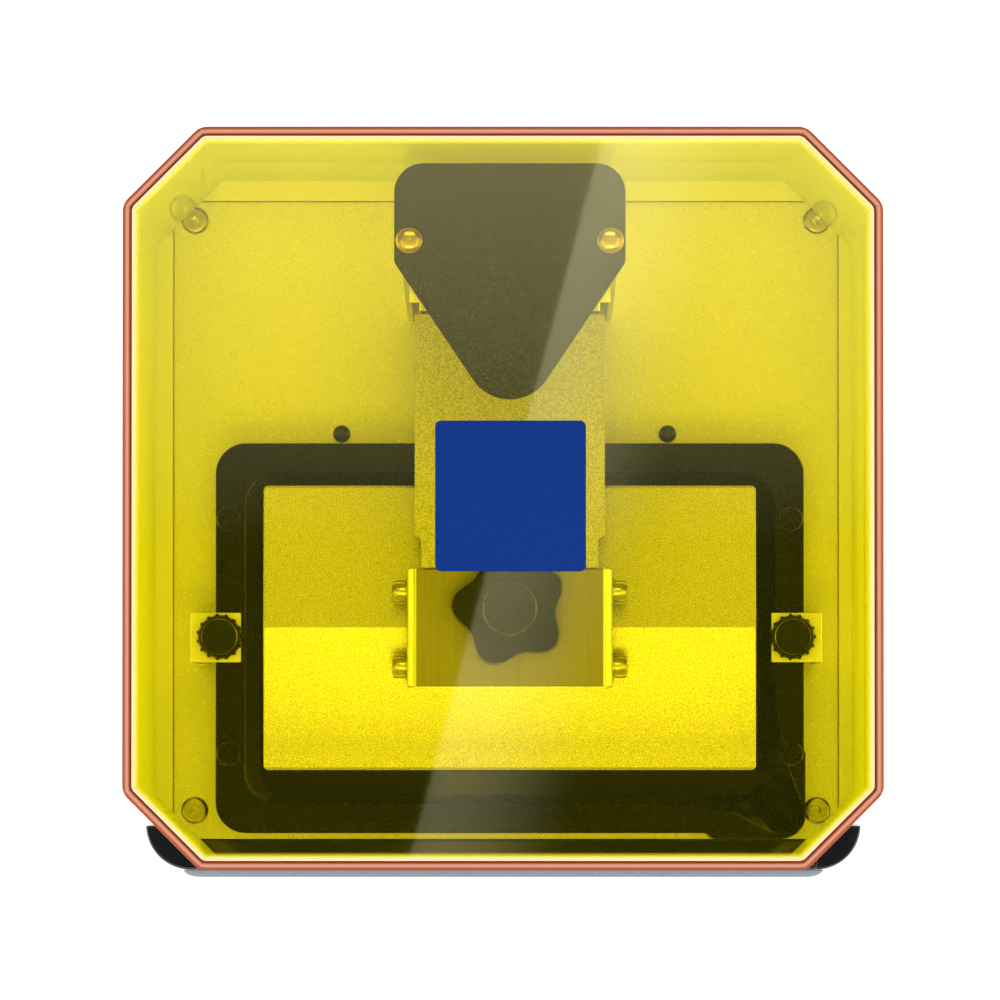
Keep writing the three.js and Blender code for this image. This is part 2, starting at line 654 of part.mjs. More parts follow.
// Height of the plate's roof-shaped back at a given y: a ridge along X with a gentle fall to both sides.
const plateBack = (y) => PLATE.top - (PLATE.fall * Math.abs(y - PLATE.y)) / (PLATE.depth / 2);
const blockSide = polygon([
  [BLOCK.front, plateBack(BLOCK.front) + BLOCK.seat],
  [PLATE.y, PLATE.top + BLOCK.seat],
  [BLOCK.back, plateBack(BLOCK.back) + BLOCK.seat],
  [BLOCK.back, BLOCK.top],
  [BLOCK.front, BLOCK.top],
]);
place(
  mechanism,
  "platform_block",
  cut(
    prismAlongX(blockSide, -BLOCK.half, BLOCK.half),
    ...LEVEL_SCREW.ys.flatMap((y) => [
      rodAlongX(y, LEVEL_SCREW.z, -30, -19, 2.15, 10),
      rodAlongX(y, LEVEL_SCREW.z, 19, 30, 2.15, 10),
    ]),
  ),
  silver,
);
const [plateFront, plateRear] = [PLATE.y - PLATE.depth / 2, PLATE.y + PLATE.depth / 2];
const plateSide = polygon([
  [plateFront, PLATE.bottom],
  [plateRear, PLATE.bottom],
  [plateRear, PLATE.top - PLATE.fall - 0.8],
  [plateRear - 0.8, plateBack(plateRear)],
  [PLATE.y, PLATE.top],
  [plateFront + 0.8, plateBack(plateFront)],
  [plateFront, PLATE.top - PLATE.fall - 0.8],
]);
const platePlan = roundedRect(0, PLATE.y, PLATE.width, PLATE.depth, PLATE.corner);
place(
  mechanism,
  "build_plate",
  prismAlongX(plateSide, -PLATE.width, PLATE.width).intersect(prism(platePlan, PLATE.bottom, PLATE.top + 1, 3)),
  silver,
);
for (const [side, sx] of [["left", -1], ["right", 1]])
  for (const [end, y] of [["rear", LEVEL_SCREW.ys[0]], ["front", LEVEL_SCREW.ys[1]]]) {
    const screw = place(
      mechanism,
      `level_screw_${end}_${side}`,
      capScrew(3.6, 4.1, 2, 10),
      steel,
      sx * (bracketHalf + 0.5),
      y,
      LEVEL_SCREW.z,
    );
    screw.rotation.y = (sx * Math.PI) / 2;
  }

// Five-lobed clamp knob with its moulded-in stud.
const LOBES = { count: 5, mean: 15.95, swing: 1.95, first: THREE.MathUtils.degToRad(32), steps: 50 };
const starPoints = Array.from({ length: LOBES.steps }, (_, i) => {
  const angle = (i / LOBES.steps) * 2 * Math.PI;
  const radius = LOBES.mean + LOBES.swing * Math.cos(LOBES.count * (angle - LOBES.first));
  return [radius * Math.cos(angle), radius * Math.sin(angle)];
});
const starKnob = join(
  prism(polygon(starPoints), 3.8, 12.5),
  rod(0, 0, 0.4, 4, 6.5, 20),
  rod(0, 0, 12, 14.2, 7.9, 24),
  rod(0, 0, -2.3, 1, 2.8, 12),
);
place(mechanism, "star_knob", starKnob, blackMatte, 0, KNOB_Y, BRACKET.top);

// ---------------------------------------------------------------- vat
const vatOutline = (() => {
  const [hx, hy, r, lip] = [VAT.width / 2, VAT.depth / 2, VAT.corner, 5.5];
  const [lipX, lipY] = [hx + 0.5, hy + 1.7];
  const shape = new THREE.Shape();
  shape.moveTo(-hx + r, -hy);
  shape.lineTo(60.3, -hy);
  shape.lineTo(62, -lipY);
  shape.lineTo(lipX - lip, -lipY);
  shape.absarc(lipX - lip, -lipY + lip, lip, -Math.PI / 2, 0);
  shape.lineTo(lipX, -36);
  shape.lineTo(hx, -34.5);
  shape.lineTo(hx, hy - r);
  shape.absarc(hx - r, hy - r, r, 0, Math.PI / 2);
  shape.lineTo(-hx + r, hy);
  shape.absarc(-hx + r, hy - r, r, Math.PI / 2, Math.PI);
  shape.lineTo(-hx, -hy + r);
  shape.absarc(-hx + r, -hy + r, r, Math.PI, Math.PI * 1.5);
  return shape;
})();
const openingLoop = ({ width, depth, corner }, z) => loopOf(roundedRect(0, 0, width, depth, corner), z, 6);
// Pouring channel: from the inside walls out to the right front corner, its floor rising to a lip.
const spoutTop = [
  [51, -50.5, 191],
  [67.9, -52.3, 191],
  [84, -63, 191],
  [93, -64, 191],
  [92.5, -51, 191],
  [83.3, -34.5, 191],
  [81.1, -13, 191],
];
const spoutFloor = [
  [56, -47, 168],
  [66, -48.5, 171],
  [84, -63, 186],
  [93, -64, 185],
  [92.5, -51, 186],
  [79.8, -32, 171],
  [78.6, -20, 168],
];
const bossSpots = [-1, 1].flatMap((sx) => [36.7, -35.7].map((y) => [sx * 86.7, y]));
const vatFrame = cut(
  join(
    prism(vatOutline, DECK_TOP + 0.3, VAT.top),
    ...bossSpots.map(([x, y]) => rod(x, y, VAT.top - 1, VAT.top + 0.7, 3.6, 14)),
  ),
  loft(openingLoop(VAT_FLOOR, DECK_TOP - 1), openingLoop(VAT_OPENING, VAT.top + 1)),
  cut(
    prism(roundedRect(0, 0, 168.6, 109.6, 8), DECK_TOP - 1, 162.3, 4),
    prism(roundedRect(0, 0, 158.2, 99.2, 7), DECK_TOP + 0.9, 163, 4),
  ),
  loft(spoutFloor, spoutTop),
);
place(mechanism, "vat_frame", vatFrame, blackMatte, 0, VAT.y, 0);
const filmPlan = roundedRect(0, 0, 168, 109, 7.7);
const filmRing = cut(prism(filmPlan, 158.7, 162, 4), prism(roundedRect(0, 0, 158.8, 99.8, 7.3), 158, 163, 4));
place(mechanism, "film_ring", filmRing, steel, 0, VAT.y, 0);
place(mechanism, "vat_film", prism(filmPlan, 158.35, 158.6, 4), filmClear, 0, VAT.y, 0);

// Clamp brackets: a foot on the deck, an upright, and a tab over the vat's rim that a thumb screw crosses.
const TAB = { bottom: VAT.top + 1.2, top: VAT.top + 3.2 };
const STUD = 2.2; // thread below the knob, which ends clear of the vat
for (const [side, sx] of [["left", -1], ["right", 1]]) {
  const reach = (inner, outer, z0, z1) => {
    const [a, b] = [CLAMP.x + sx * inner, CLAMP.x + sx * outer].sort((p, q) => p - q);
    return box(a, b, CLAMP.y - CLAMP.reach, CLAMP.y + CLAMP.reach, z0, z1);
  };
  const screwX = CLAMP.x + sx * CLAMP.screw;
  const bracket = cut(
    join(
      reach(CLAMP.inner, CLAMP.outer, TAB.bottom, TAB.top),
      reach(CLAMP.outer - CLAMP.sheet, CLAMP.outer, DECK_TOP + 0.1, TAB.top),
      reach(CLAMP.foot, CLAMP.outer, DECK_TOP + 0.1, DECK_TOP + 0.1 + CLAMP.sheet),
    ),
    rod(screwX, CLAMP.y, TAB.bottom - 1, TAB.top + 1, 2.3, 12),
  );
  place(mechanism, `vat_bracket_${side}`, bracket, silver);

  const [teeth, outer, root] = [16, 7.2, 6.6];
  const fluted = Array.from({ length: teeth * 2 }, (_, i) => {
    const radius = i % 2 ? root : outer;
    const angle = (i * Math.PI) / teeth;
    return [radius * Math.cos(angle), radius * Math.sin(angle)];
  });
  const thumb = join(
    prism(polygon(fluted), 3.4, 11.5),
    rod(0, 0, 0.2, 3.6, 5.2, 16),
    rod(0, 0, 11, 12.2, 6.1, 20),
    rod(0, 0, -STUD, 1, 2, 12),
  );
  place(mechanism, `thumb_screw_${side}`, thumb, blackMatte, screwX, CLAMP.y, TAB.top);
}

// ---------------------------------------------------------------- cover
const coverPlan = (inset, corner) => {
  const [hx, hy] = [halfWidth - inset, halfDepth - inset];
  const leg = COVER.chamfer - inset * (2 - Math.SQRT2);
  const corners = [
    [-hx + leg, -hy], [hx - leg, -hy], [hx, -hy + leg], [hx, hy - leg],
    [hx - leg, hy], [-hx + leg, hy], [-hx, hy - leg], [-hx, -hy + leg],
  ].map(([x, y]) => new THREE.Vector2(x, y));
  const shape = new THREE.Shape();
  corners.forEach((at, i) => {
    const before = corners[(i + 7) % 8];
    const after = corners[(i + 1) % 8];
    const arrive = at.clone().lerp(before, corner / at.distanceTo(before));
    const leave = at.clone().lerp(after, corner / at.distanceTo(after));
    if (i === 0) shape.moveTo(arrive.x, arrive.y);
    else shape.lineTo(arrive.x, arrive.y);
    shape.quadraticCurveTo(at.x, at.y, leave.x, leave.y);
  });
  return shape;
};
const coverHeight = TOTAL_HEIGHT - COVER.bottom;
const coverShell = cut(
  join(
    prism(coverPlan(0, 3), 0, coverHeight - 1, 3),
    loft(loopOf(coverPlan(0, 3), coverHeight - 1, 3), loopOf(coverPlan(1, 2.6), coverHeight, 3)),
  ),
  prism(coverPlan(COVER.wall, 2), -1, coverHeight - COVER.wall, 3),
);
place(machine, "cover_shell", coverShell, coverYellow, 0, 0, COVER.bottom);
const LABEL = { size: 44, y: 0.6, thickness: 0.3 };
place(
  machine,
  "cover_label",
  prism(roundedRect(0, 0, LABEL.size, LABEL.size, 1.8), 0, LABEL.thickness, 3),
  labelBlue,
  CORE_X + 0.2,
  LABEL.y,
  TOTAL_HEIGHT,
);

export default machine;
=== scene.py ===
"""The looks of a desktop resin printer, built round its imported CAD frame."""
import math

import bmesh
import bpy
from mathutils import Matrix, Vector
from mathutils.geometry import tessellate_polygon

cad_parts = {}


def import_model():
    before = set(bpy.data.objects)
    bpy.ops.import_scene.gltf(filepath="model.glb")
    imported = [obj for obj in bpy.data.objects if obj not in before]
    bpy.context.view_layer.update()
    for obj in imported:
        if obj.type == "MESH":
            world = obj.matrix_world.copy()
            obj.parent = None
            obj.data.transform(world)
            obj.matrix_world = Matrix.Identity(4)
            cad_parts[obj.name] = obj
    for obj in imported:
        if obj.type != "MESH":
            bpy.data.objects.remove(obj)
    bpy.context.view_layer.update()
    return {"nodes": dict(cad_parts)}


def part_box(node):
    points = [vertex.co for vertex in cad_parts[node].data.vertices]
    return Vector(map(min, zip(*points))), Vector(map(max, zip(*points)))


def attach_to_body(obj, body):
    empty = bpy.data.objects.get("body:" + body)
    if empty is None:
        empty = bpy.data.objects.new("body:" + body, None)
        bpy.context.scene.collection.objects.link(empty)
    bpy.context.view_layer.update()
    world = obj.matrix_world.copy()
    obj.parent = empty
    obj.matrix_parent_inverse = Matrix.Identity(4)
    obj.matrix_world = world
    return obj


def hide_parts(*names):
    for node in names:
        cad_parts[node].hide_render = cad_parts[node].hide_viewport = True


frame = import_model()

MM = 0.001
TURN = 2 * math.pi
# Places in millimetres that several pieces share.
MIDDLE = 2.0  # x of the plane through the tower, arm, platform and vat
VAT_Y = -37.1  # y of the vat's middle
KNOB_Y = -29.2  # y of the star knob and its stud
DECK_FACE = 158.05  # height that the deck's screws stand on, a hair over the plate
SMOOTH_BELOW = math.radians(34)


# ------------------------------------------------------------------ places read from the frame
SPANS = {}


def span(node):
    """Lowest and highest corner of a CAD node in millimetres."""
    if node not in SPANS:
        SPANS[node] = [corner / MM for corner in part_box(node)]
    return SPANS[node]


def centre(node):
    low, high = span(node)
    return (low + high) / 2


# ------------------------------------------------------------------ outlines, in millimetres
def rounded(corners, steps=10):
    """Outline of a polygon given as (x, y, radius) corners, with each corner turned into an arc."""
    points = []
    for i, (x, y, radius) in enumerate(corners):
        here = Vector((x, y))
        to_before = (Vector(corners[i - 1][:2]) - here).normalized()
        to_after = (Vector(corners[(i + 1) % len(corners)][:2]) - here).normalized()
        if radius <= 0:
            points.append((x, y))
            continue
        half = to_before.angle(to_after) / 2
        middle = here + (to_before + to_after).normalized() * (radius / math.sin(half))
        start = here + to_before * (radius / math.tan(half)) - middle
        end = here + to_after * (radius / math.tan(half)) - middle
        sweep = start.angle_signed(end) * -1
        for k in range(steps + 1):
            turned = Matrix.Rotation(sweep * k / steps, 2) @ start
            points.append(tuple(middle + turned))
    return points


def rounded_rect(x0, x1, y0, y1, radius, steps=10):
    return rounded([(x0, y0, radius), (x1, y0, radius), (x1, y1, radius), (x0, y1, radius)], steps)


def inset(outline, depth):
    """The outline moved inwards by depth; it runs counter-clockwise."""
    moved = []
    for i, (x, y) in enumerate(outline):
        before, after = Vector(outline[i - 1]), Vector(outline[(i + 1) % len(outline)])
        here = Vector((x, y))
        first, second = (here - before).normalized(), (after - here).normalized()
        normal = Vector((-first.y - second.y, first.x + second.x)).normalized()
        stretch = 1 / max(0.4, math.sqrt(max(0.0, (1 + first.dot(second)) / 2)))
        moved.append(tuple(here + normal * depth * stretch))
    return moved


# ------------------------------------------------------------------ mesh builders
def mesh_piece(name, points, faces, material, smooth=SMOOTH_BELOW):
    """A mesh object from points in millimetres."""
    mesh = bpy.data.meshes.new(name)
    mesh.from_pydata([Vector(p) * MM for p in points], [], faces)
    tidy = bmesh.new()
    tidy.from_mesh(mesh)
    bmesh.ops.remove_doubles(tidy, verts=tidy.verts, dist=1e-6)
    bmesh.ops.recalc_face_normals(tidy, faces=tidy.faces)
    tidy.to_mesh(mesh)
    tidy.free()
    mesh.shade_smooth()
    mesh.set_sharp_from_angle(angle=smooth)
    mesh.materials.append(material)
    piece = bpy.data.objects.new(name, mesh)
    bpy.context.scene.collection.objects.link(piece)
    return piece


def skin(rings, close_start=True, close_end=True, loop=False):
    """Points and faces between rings of equal length."""
    count = len(rings[0])
    points = [p for ring in rings for p in ring]
    faces = []
    pairs = len(rings) if loop else len(rings) - 1
    for r in range(pairs):
        here, there = r * count, (r + 1) % len(rings) * count
        for k in range(count):
            after = (k + 1) % count
            faces.append((here + k, here + after, there + after, there + k))
    if close_start and not loop:
        faces.append(tuple(reversed(range(count))))
    if close_end and not loop:
        faces.append(tuple(range((len(rings) - 1) * count, len(rings) * count)))
    return points, faces


def edge_profile(z0, z1, low_round, high_round, steps=4):
    """(inset, height) pairs that round the lower and upper edges of a slab."""
    profile = []
    for k in range(steps + 1):
        angle = math.pi / 2 * k / steps
        profile.append((low_round * (1 - math.sin(angle)), z0 + low_round * (1 - math.cos(angle))))
    for k in range(steps + 1):
        angle = math.pi / 2 * k / steps
        profile.append((high_round * (1 - math.cos(angle)), z1 - high_round * (1 - math.sin(angle))))
    return profile


def slab(name, outline, z0, z1, material, round_low=0.3, round_high=0.3):
    """An upright slab with eased edges."""
    rings = [
        [(x, y, z) for x, y in (inset(outline, depth) if depth > 1e-6 else outline)]
        for depth, z in edge_profile(z0, z1, round_low, round_high)
    ]
    return mesh_piece(name, *skin(rings), material)


def turned(name, rows, material, count=48, at=(0, 0, 0), towards="+Z"):
    """A body of rows (radius or function of the angle, height) round an axis through at."""
    rings = []
    for radius, height in rows:
        ring = []
        for k in range(count):
            angle = TURN * k / count
            r = radius(angle) if callable(radius) else radius
            ring.append(Vector((r * math.cos(angle), r * math.sin(angle), height)))
        rings.append(ring)
    turn = {
        "+Z": Matrix.Identity(3),
        "+X": Matrix.Rotation(math.pi / 2, 3, "Y"),
        "-X": Matrix.Rotation(-math.pi / 2, 3, "Y"),
        "+Y": Matrix.Rotation(-math.pi / 2, 3, "X"),
    }[towards]
    rings = [[turn @ p + Vector(at) for p in ring] for ring in rings]
    return mesh_piece(name, *skin(rings), material)


def hexagon(flats):
    """Radius of a hexagon of that width across its flats, at an angle."""
    return lambda angle: flats / 2 / math.cos((angle + math.pi / 6) % (math.pi / 3) - math.pi / 6)


def bent_sheet(name, path, y0, y1, thickness, material, ease=0.25):
    """A folded sheet: a path in (x, z), thickened and run along Y."""
    outer = path
    inner = []
    for i, point in enumerate(path):
        before = Vector(path[max(0, i - 1)])
        after = Vector(path[min(len(path) - 1, i + 1)])
        along = (after - before).normalized()
        inner.append(tuple(Vector(point) + Vector((-along.y, along.x)) * -thickness))
    section = outer + list(reversed(inner))
    rings = []
    for depth, y in ((ease, y0), (0, y0 + ease), (0, y1 - ease), (ease, y1)):
        rings.append([(x, y, z) for x, z in inset_section(section, depth)])
    return mesh_piece(name, *skin(rings), material)


def inset_section(section, depth):
    return section if depth == 0 else inset(section, depth * section_turn(section))


def section_turn(section):
    """1 for a counter-clockwise section and -1 for a clockwise one."""
    area = sum(
        x0 * y1 - x1 * y0 for (x0, y0), (x1, y1) in zip(section, section[1:] + section[:1])
    )
    return 1 if area > 0 else -1


def cut(piece, cutters):
    """Cuts the cutters out of a piece and keeps the result as its mesh."""
    for cutter in cutters:
        boolean = piece.modifiers.new("cut", "BOOLEAN")
        boolean.operation = "DIFFERENCE"
        boolean.solver = "EXACT"
        boolean.object = cutter
    evaluated = piece.evaluated_get(bpy.context.evaluated_depsgraph_get())
    mesh = bpy.data.meshes.new_from_object(evaluated)
    piece.modifiers.clear()
    piece.data = mesh
    for cutter in cutters:
        bpy.data.objects.remove(cutter)
    return piece


def dress(node, material, ease=0.35, segments=2, crisp=False):
    """Gives a CAD node its material and eases its edges; crisp keeps faint ridges sharp."""
    piece = frame["nodes"][node]
    piece.data.materials.clear()
    piece.data.materials.append(material)
    weld = piece.modifiers.new("weld", "WELD")
    weld.merge_threshold = 2e-6
    flat = piece.modifiers.new("flat", "DECIMATE")
    flat.decimate_type = "DISSOLVE"
    flat.angle_limit = math.radians(0.6)
    if ease:
        bevel = piece.modifiers.new("ease", "BEVEL")
        bevel.width = ease * MM
        bevel.segments = segments
        bevel.limit_method = "ANGLE"
        bevel.angle_limit = math.radians(40)
        bevel.miter_outer = "MITER_ARC"
    if not crisp:
        weighted = piece.modifiers.new("normals", "WEIGHTED_NORMAL")
        weighted.keep_sharp = False
    for polygon in piece.data.polygons:
        polygon.use_smooth = not crisp
    return piece


def attach(piece, body, slot, *nodes):
    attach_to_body(piece, body)
    if nodes:
        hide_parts(*nodes)
    return piece


# ------------------------------------------------------------------ materials
def map_range(nodes, links, value, limits, kind="LINEAR"):
    """Maps a value from the first two limits to the last two."""
    made = nodes.new("ShaderNodeMapRange")
    made.interpolation_type = kind
    for key, number in zip(("From Min", "From Max", "To Min", "To Max"), limits):
        made.inputs[key].default_value = number
    links.new(value, made.inputs["Value"])
    return made.outputs["Result"]


class Look:
    """A Principled material with small helpers for its node tree."""

    def __init__(self, name, **values):
        self.material = bpy.data.materials.new(name)
        self.material.use_nodes = True
        self.nodes = self.material.node_tree.nodes
        self.links = self.material.node_tree.links
        self.shader = self.nodes["Principled BSDF"]
        for key, value in values.items():
            socket = self.shader.inputs[key.replace("_", " ")]
            socket.default_value = (*value, 1) if isinstance(value, tuple) else value

    def node(self, kind, **settings):
        made = self.nodes.new("ShaderNode" + kind)
        for key, value in settings.items():
            if key in made.inputs:
                made.inputs[key].default_value = value
            else:
                setattr(made, key, value)
        return made

    def link(self, start, end):
        self.links.new(start, end)

    def coords(self, stretch=(1, 1, 1)):
        where = self.node("TexCoord")
        mapping = self.node("Mapping", Scale=stretch)
        self.link(where.outputs["Object"], mapping.inputs["Vector"])
        return mapping.outputs["Vector"]

    def noise(self, scale, detail=2.0, stretch=(1, 1, 1)):
        made = self.node("TexNoise", Scale=scale, Detail=detail, Roughness=0.5)
        self.link(self.coords(stretch), made.inputs["Vector"])
        return made.outputs["Fac"]

    def ramp(self, value, stops, interpolation="LINEAR"):
        made = self.node("ValToRGB")
        made.color_ramp.interpolation = interpolation
        while len(made.color_ramp.elements) < len(stops):
            made.color_ramp.elements.new(0.5)
        for element, (place, colour) in zip(made.color_ramp.elements, stops):
            element.position = place
            element.color = (*colour, 1)
        self.link(value, made.inputs["Fac"])
        return made.outputs["Color"]

    def spread(self, value, low, high, from_low=0.3, from_high=0.7, kind="LINEAR"):
        return map_range(self.nodes, self.links, value, (from_low, from_high, low, high), kind)

    def colour(self, socket):
        self.link(socket, self.shader.inputs["Base Color"])

    def roughness(self, value, low, high):
        self.link(self.spread(value, low, high), self.shader.inputs["Roughness"])

    def bump(self, value, height):
        made = self.node("Bump", Distance=height * MM, Strength=1.0)
        self.link(value, made.inputs["Height"])
        self.link(made.outputs["Normal"], self.shader.inputs["Normal"])


    def mottle(self, value, colour, dark, bright, low=0.3, high=0.7):
        """Ramp between a darker and a brighter shade of the colour."""
        return self.ramp(value, [(low, shade(colour, dark)), (high, shade(colour, bright))])


def shade(colour, factor):
    return tuple(min(1.0, c * factor) for c in colour)


def blasted(name, colour, rough=0.42, contrast=0.16, grain=2600, metallic=1.0, relief=0.012):
    """Bead-blasted metal: fine grain in colour, gloss and relief."""
    look = Look(name, Metallic=metallic)
    fine = look.noise(grain, 3)
    look.colour(look.mottle(fine, colour, 1 - contrast, 1 + contrast, 0.34, 0.66))
    look.roughness(look.noise(grain * 0.6, 2), rough - 0.06, rough + 0.08)
    look.bump(fine, relief)
    return look.material


def brushed(name, colour, along, rough=0.32, contrast=0.1):
    """Metal brushed along one axis."""
    stretch = tuple(0.02 if axis == along else 1 for axis in "XYZ")
    look = Look(name, Metallic=1.0)
    lines = look.noise(1800, 4, stretch)
    look.colour(look.mottle(lines, colour, 1 - contrast, 1 + contrast))
    look.roughness(lines, rough - 0.08, rough + 0.1)
    look.bump(lines, 0.006)
    return look.material


def powder(name, colour, fleck, rough=0.6, density=0.1, grain=2300):
    """Textured powder coat with metallic flecks."""
    look = Look(name, Metallic=0.0, Specular_IOR_Level=0.15)
    cells = look.node("TexVoronoi", Scale=grain)
    look.link(look.coords(), cells.inputs["Vector"])
    chance = look.node("SeparateColor")
    look.link(cells.outputs["Color"], chance.inputs["Color"])
    flecks = look.ramp(
        chance.outputs["Red"], [(0.0, fleck), (density, fleck), (density + 0.02, colour)], "CONSTANT"
    )
    cloudy = look.mottle(look.noise(900, 3), colour, 0.82, 1.2)
    mix = look.node("MixRGB", blend_type="LIGHTEN", Fac=1)
    look.link(flecks, mix.inputs["Color1"])
    look.link(cloudy, mix.inputs["Color2"])
    look.colour(mix.outputs["Color"])
    look.roughness(look.noise(1500, 2), rough - 0.08, rough + 0.1)
    look.bump(look.noise(1700, 2), 0.03)
    return look.material


def moulded(name, colour, rough, relief=0.006, grain=1400, coat=0.0, specular=0.5):
    """Moulded plastic or paint with a faint texture."""
    look = Look(name, Coat_Weight=coat, Specular_IOR_Level=specular)
    fine = look.noise(grain, 2)
    look.colour(look.mottle(fine, colour, 0.9, 1.1))
    look.roughness(look.noise(grain * 0.02, 3), rough * 0.85, rough * 1.2)
    look.bump(fine, relief)
    return look.material


def polished(name, colour, rough=0.16):
    """Polished or plated metal with faint handling marks."""
    look = Look(name, Metallic=1.0)
    marks = look.noise(420, 4)
    look.colour(look.mottle(marks, colour, 0.93, 1.05))
    look.roughness(marks, rough * 0.7, rough * 1.5)
    look.bump(look.noise(900, 2), 0.002)
    return look.material


MIRROR_MOST = 0.45  # the glossy face of a clear sheet never mirrors more than this share


def tinted_sheet(name, tint, gloss_rough=0.012, ior=1.45, glow=None, glow_edge=0.0):
    """Clear sheet with a glossy face; its glow grows where it is seen edge-on."""
    look = Look(name)
    look.nodes.remove(look.shader)
    output = look.nodes["Material Output"]
    clear = look.node("BsdfTransparent")
    look.link(look.mottle(look.noise(14), tint, 0.985, 1, 0.25, 0.75), clear.inputs["Color"])
    inside = clear.outputs["BSDF"]
    if glow:
        lit = look.node("BsdfDiffuse", Color=(*glow, 1))
        through = look.node("BsdfTranslucent", Color=(*glow, 1))
        both = look.node("MixShader", Fac=0.5)
        look.link(lit.outputs["BSDF"], both.inputs[1])
        look.link(through.outputs["BSDF"], both.inputs[2])
        tilt = look.node("LayerWeight", Blend=0.5)
        share = look.spread(tilt.outputs["Facing"], 0.01, glow_edge, 0.55, 1.0, "SMOOTHSTEP")
        body = look.node("MixShader")
        look.link(share, body.inputs["Fac"])
        look.link(inside, body.inputs[1])
        look.link(both.outputs["Shader"], body.inputs[2])
        inside = body.outputs["Shader"]
    gloss = look.node("BsdfAnisotropic", Roughness=gloss_rough)
    fresnel = look.node("Fresnel", IOR=ior)
    mirror = look.node("Math", operation="MINIMUM")
    mirror.inputs[1].default_value = MIRROR_MOST
    look.link(fresnel.outputs["Fac"], mirror.inputs[0])
    face = look.node("MixShader")
    look.link(mirror.outputs["Value"], face.inputs["Fac"])
    look.link(inside, face.inputs[1])
    look.link(gloss.outputs["BSDF"], face.inputs[2])
    look.link(face.outputs["Shader"], output.inputs["Surface"])
    return look.material


def across_look(name, stops, roughness, alpha_stops=None, glow=0.0, **values):
    """Coloured by how far across the strip a point lies, which the mesh carries as an attribute."""
    look = Look(name, Roughness=roughness, **values)
    place = look.node("Attribute", attribute_name="across")
    moved = look.node("Math", operation="ADD")
    look.link(place.outputs["Fac"], moved.inputs[0])
    look.link(look.spread(look.noise(90), -0.004, 0.004, 0.0, 1.0), moved.inputs[1])
    look.colour(look.ramp(moved.outputs["Value"], stops))
    if glow:
        base = look.shader.inputs["Base Color"].links[0].from_socket
        look.link(base, look.shader.inputs["Emission Color"])
        look.shader.inputs["Emission Strength"].default_value = glow
    if alpha_stops:
        fade = look.ramp(moved.outputs["Value"], [(at, (share,) * 3) for at, share in alpha_stops])
        look.link(fade, look.shader.inputs["Alpha"])
    return look.material


look_deck = blasted("deck_aluminium", (0.73, 0.73, 0.705), 0.32, 0.09)
look_plate = blasted("plate_aluminium", (0.585, 0.575, 0.555), 0.26, 0.065, grain=3200, relief=0.005)
look_arm = blasted("arm_aluminium", (0.53, 0.52, 0.49), 0.45, 0.3, grain=2200, relief=0.02)
look_tower = blasted("tower_aluminium", (0.74, 0.74, 0.72), 0.42, 0.08)
look_clamp = blasted("clamp_aluminium", (0.86, 0.86, 0.83), 0.34, 0.06)
look_bracket = brushed("bracket_steel", (0.29, 0.27, 0.22), "Y", 0.4, 0.1)
# The bends' much lighter copy of the bracket's steel is a painted highlight where they would catch the
# side lamps.
look_painted_bend_highlight = brushed("bracket_painted_bend_highlight", (0.93, 0.92, 0.88), "Y", 0.3, 0.04)
look_steel = brushed("ground_steel", (0.5, 0.5, 0.5), "Z", 0.28)
look_screw = polished("screw_steel", (0.62, 0.61, 0.58), 0.2)
look_gold = polished("gold_passivated", (0.46, 0.37, 0.15), 0.08)
look_deck_screw = polished("screw_satin", (0.46, 0.44, 0.31), 0.2)
look_black_screw = polished("black_oxide", (0.045, 0.045, 0.042), 0.3)
look_cap = powder("cap_powder", (0.013, 0.013, 0.011), (0.11, 0.105, 0.08), 0.6, 0.08, 4200)
look_housing = blasted("housing_silver", (0.77, 0.77, 0.75), 0.36, 0.06)
look_bezel = moulded("bezel_gloss", (0.008, 0.008, 0.010), 0.06, 0.0006, 500, coat=0.4)
look_fascia = moulded("fascia_paint", (0.30, 0.34, 0.39), 0.32, 0.002)
look_black = moulded("black_moulding", (0.022, 0.022, 0.020), 0.42)
look_knob = moulded("knob_moulding", (0.008, 0.008, 0.0065), 0.36, specular=0.1)
# A light metal look for the black knobs' sloping edges: a painted highlight.
look_knob_highlight = polished("knob_highlight", (0.26, 0.25, 0.17), 0.3)
look_rubber = moulded("foot_rubber", (0.022, 0.022, 0.022), 0.8, 0.02)
look_vat = blasted("vat_anodised", (0.0068, 0.0064, 0.0046), 0.28, 0.12, metallic=0.96, relief=0.003)
# A lighter polished look for the rims of the vat's bosses: a painted highlight.
look_vat_highlight = polished("vat_highlight", (0.13, 0.12, 0.08), 0.25)
# A lighter copy of the vat's colour for the inner walls that face left: painted light, as if lit from
# the left.
look_vat_painted_light_wall = moulded("vat_painted_light_wall", (0.1, 0.08, 0.033), 0.3, 0.003, specular=0.6)
look_glass = moulded("screen_glass", (0.006, 0.007, 0.009), 0.04, 0.0001, 300, coat=0.5)
look_border = moulded("border_glass", (0.012, 0.011, 0.006), 0.4, 0.0001, 300, specular=0.15)
look_label = moulded("label_film", (0.0042, 0.029, 0.185), 0.5, 0.001, 900, specular=0.03)
look_hood = moulded("hood_white", (0.78, 0.78, 0.75), 0.5)
look_board = moulded("solder_mask", (0.02, 0.14, 0.07), 0.3)
look_film = tinted_sheet("clear_film", (0.96, 0.96, 0.96), 0.015, 1.3)
YELLOW_PASS = (0.998, 0.945, 0.31)
look_cover = tinted_sheet("cover_acrylic", YELLOW_PASS, glow=(0.94, 1.0, 0.07), glow_edge=1.0)
look_cover_front = tinted_sheet("cover_front", YELLOW_PASS, glow=(1.0, 0.75, 0.2), glow_edge=0.16)
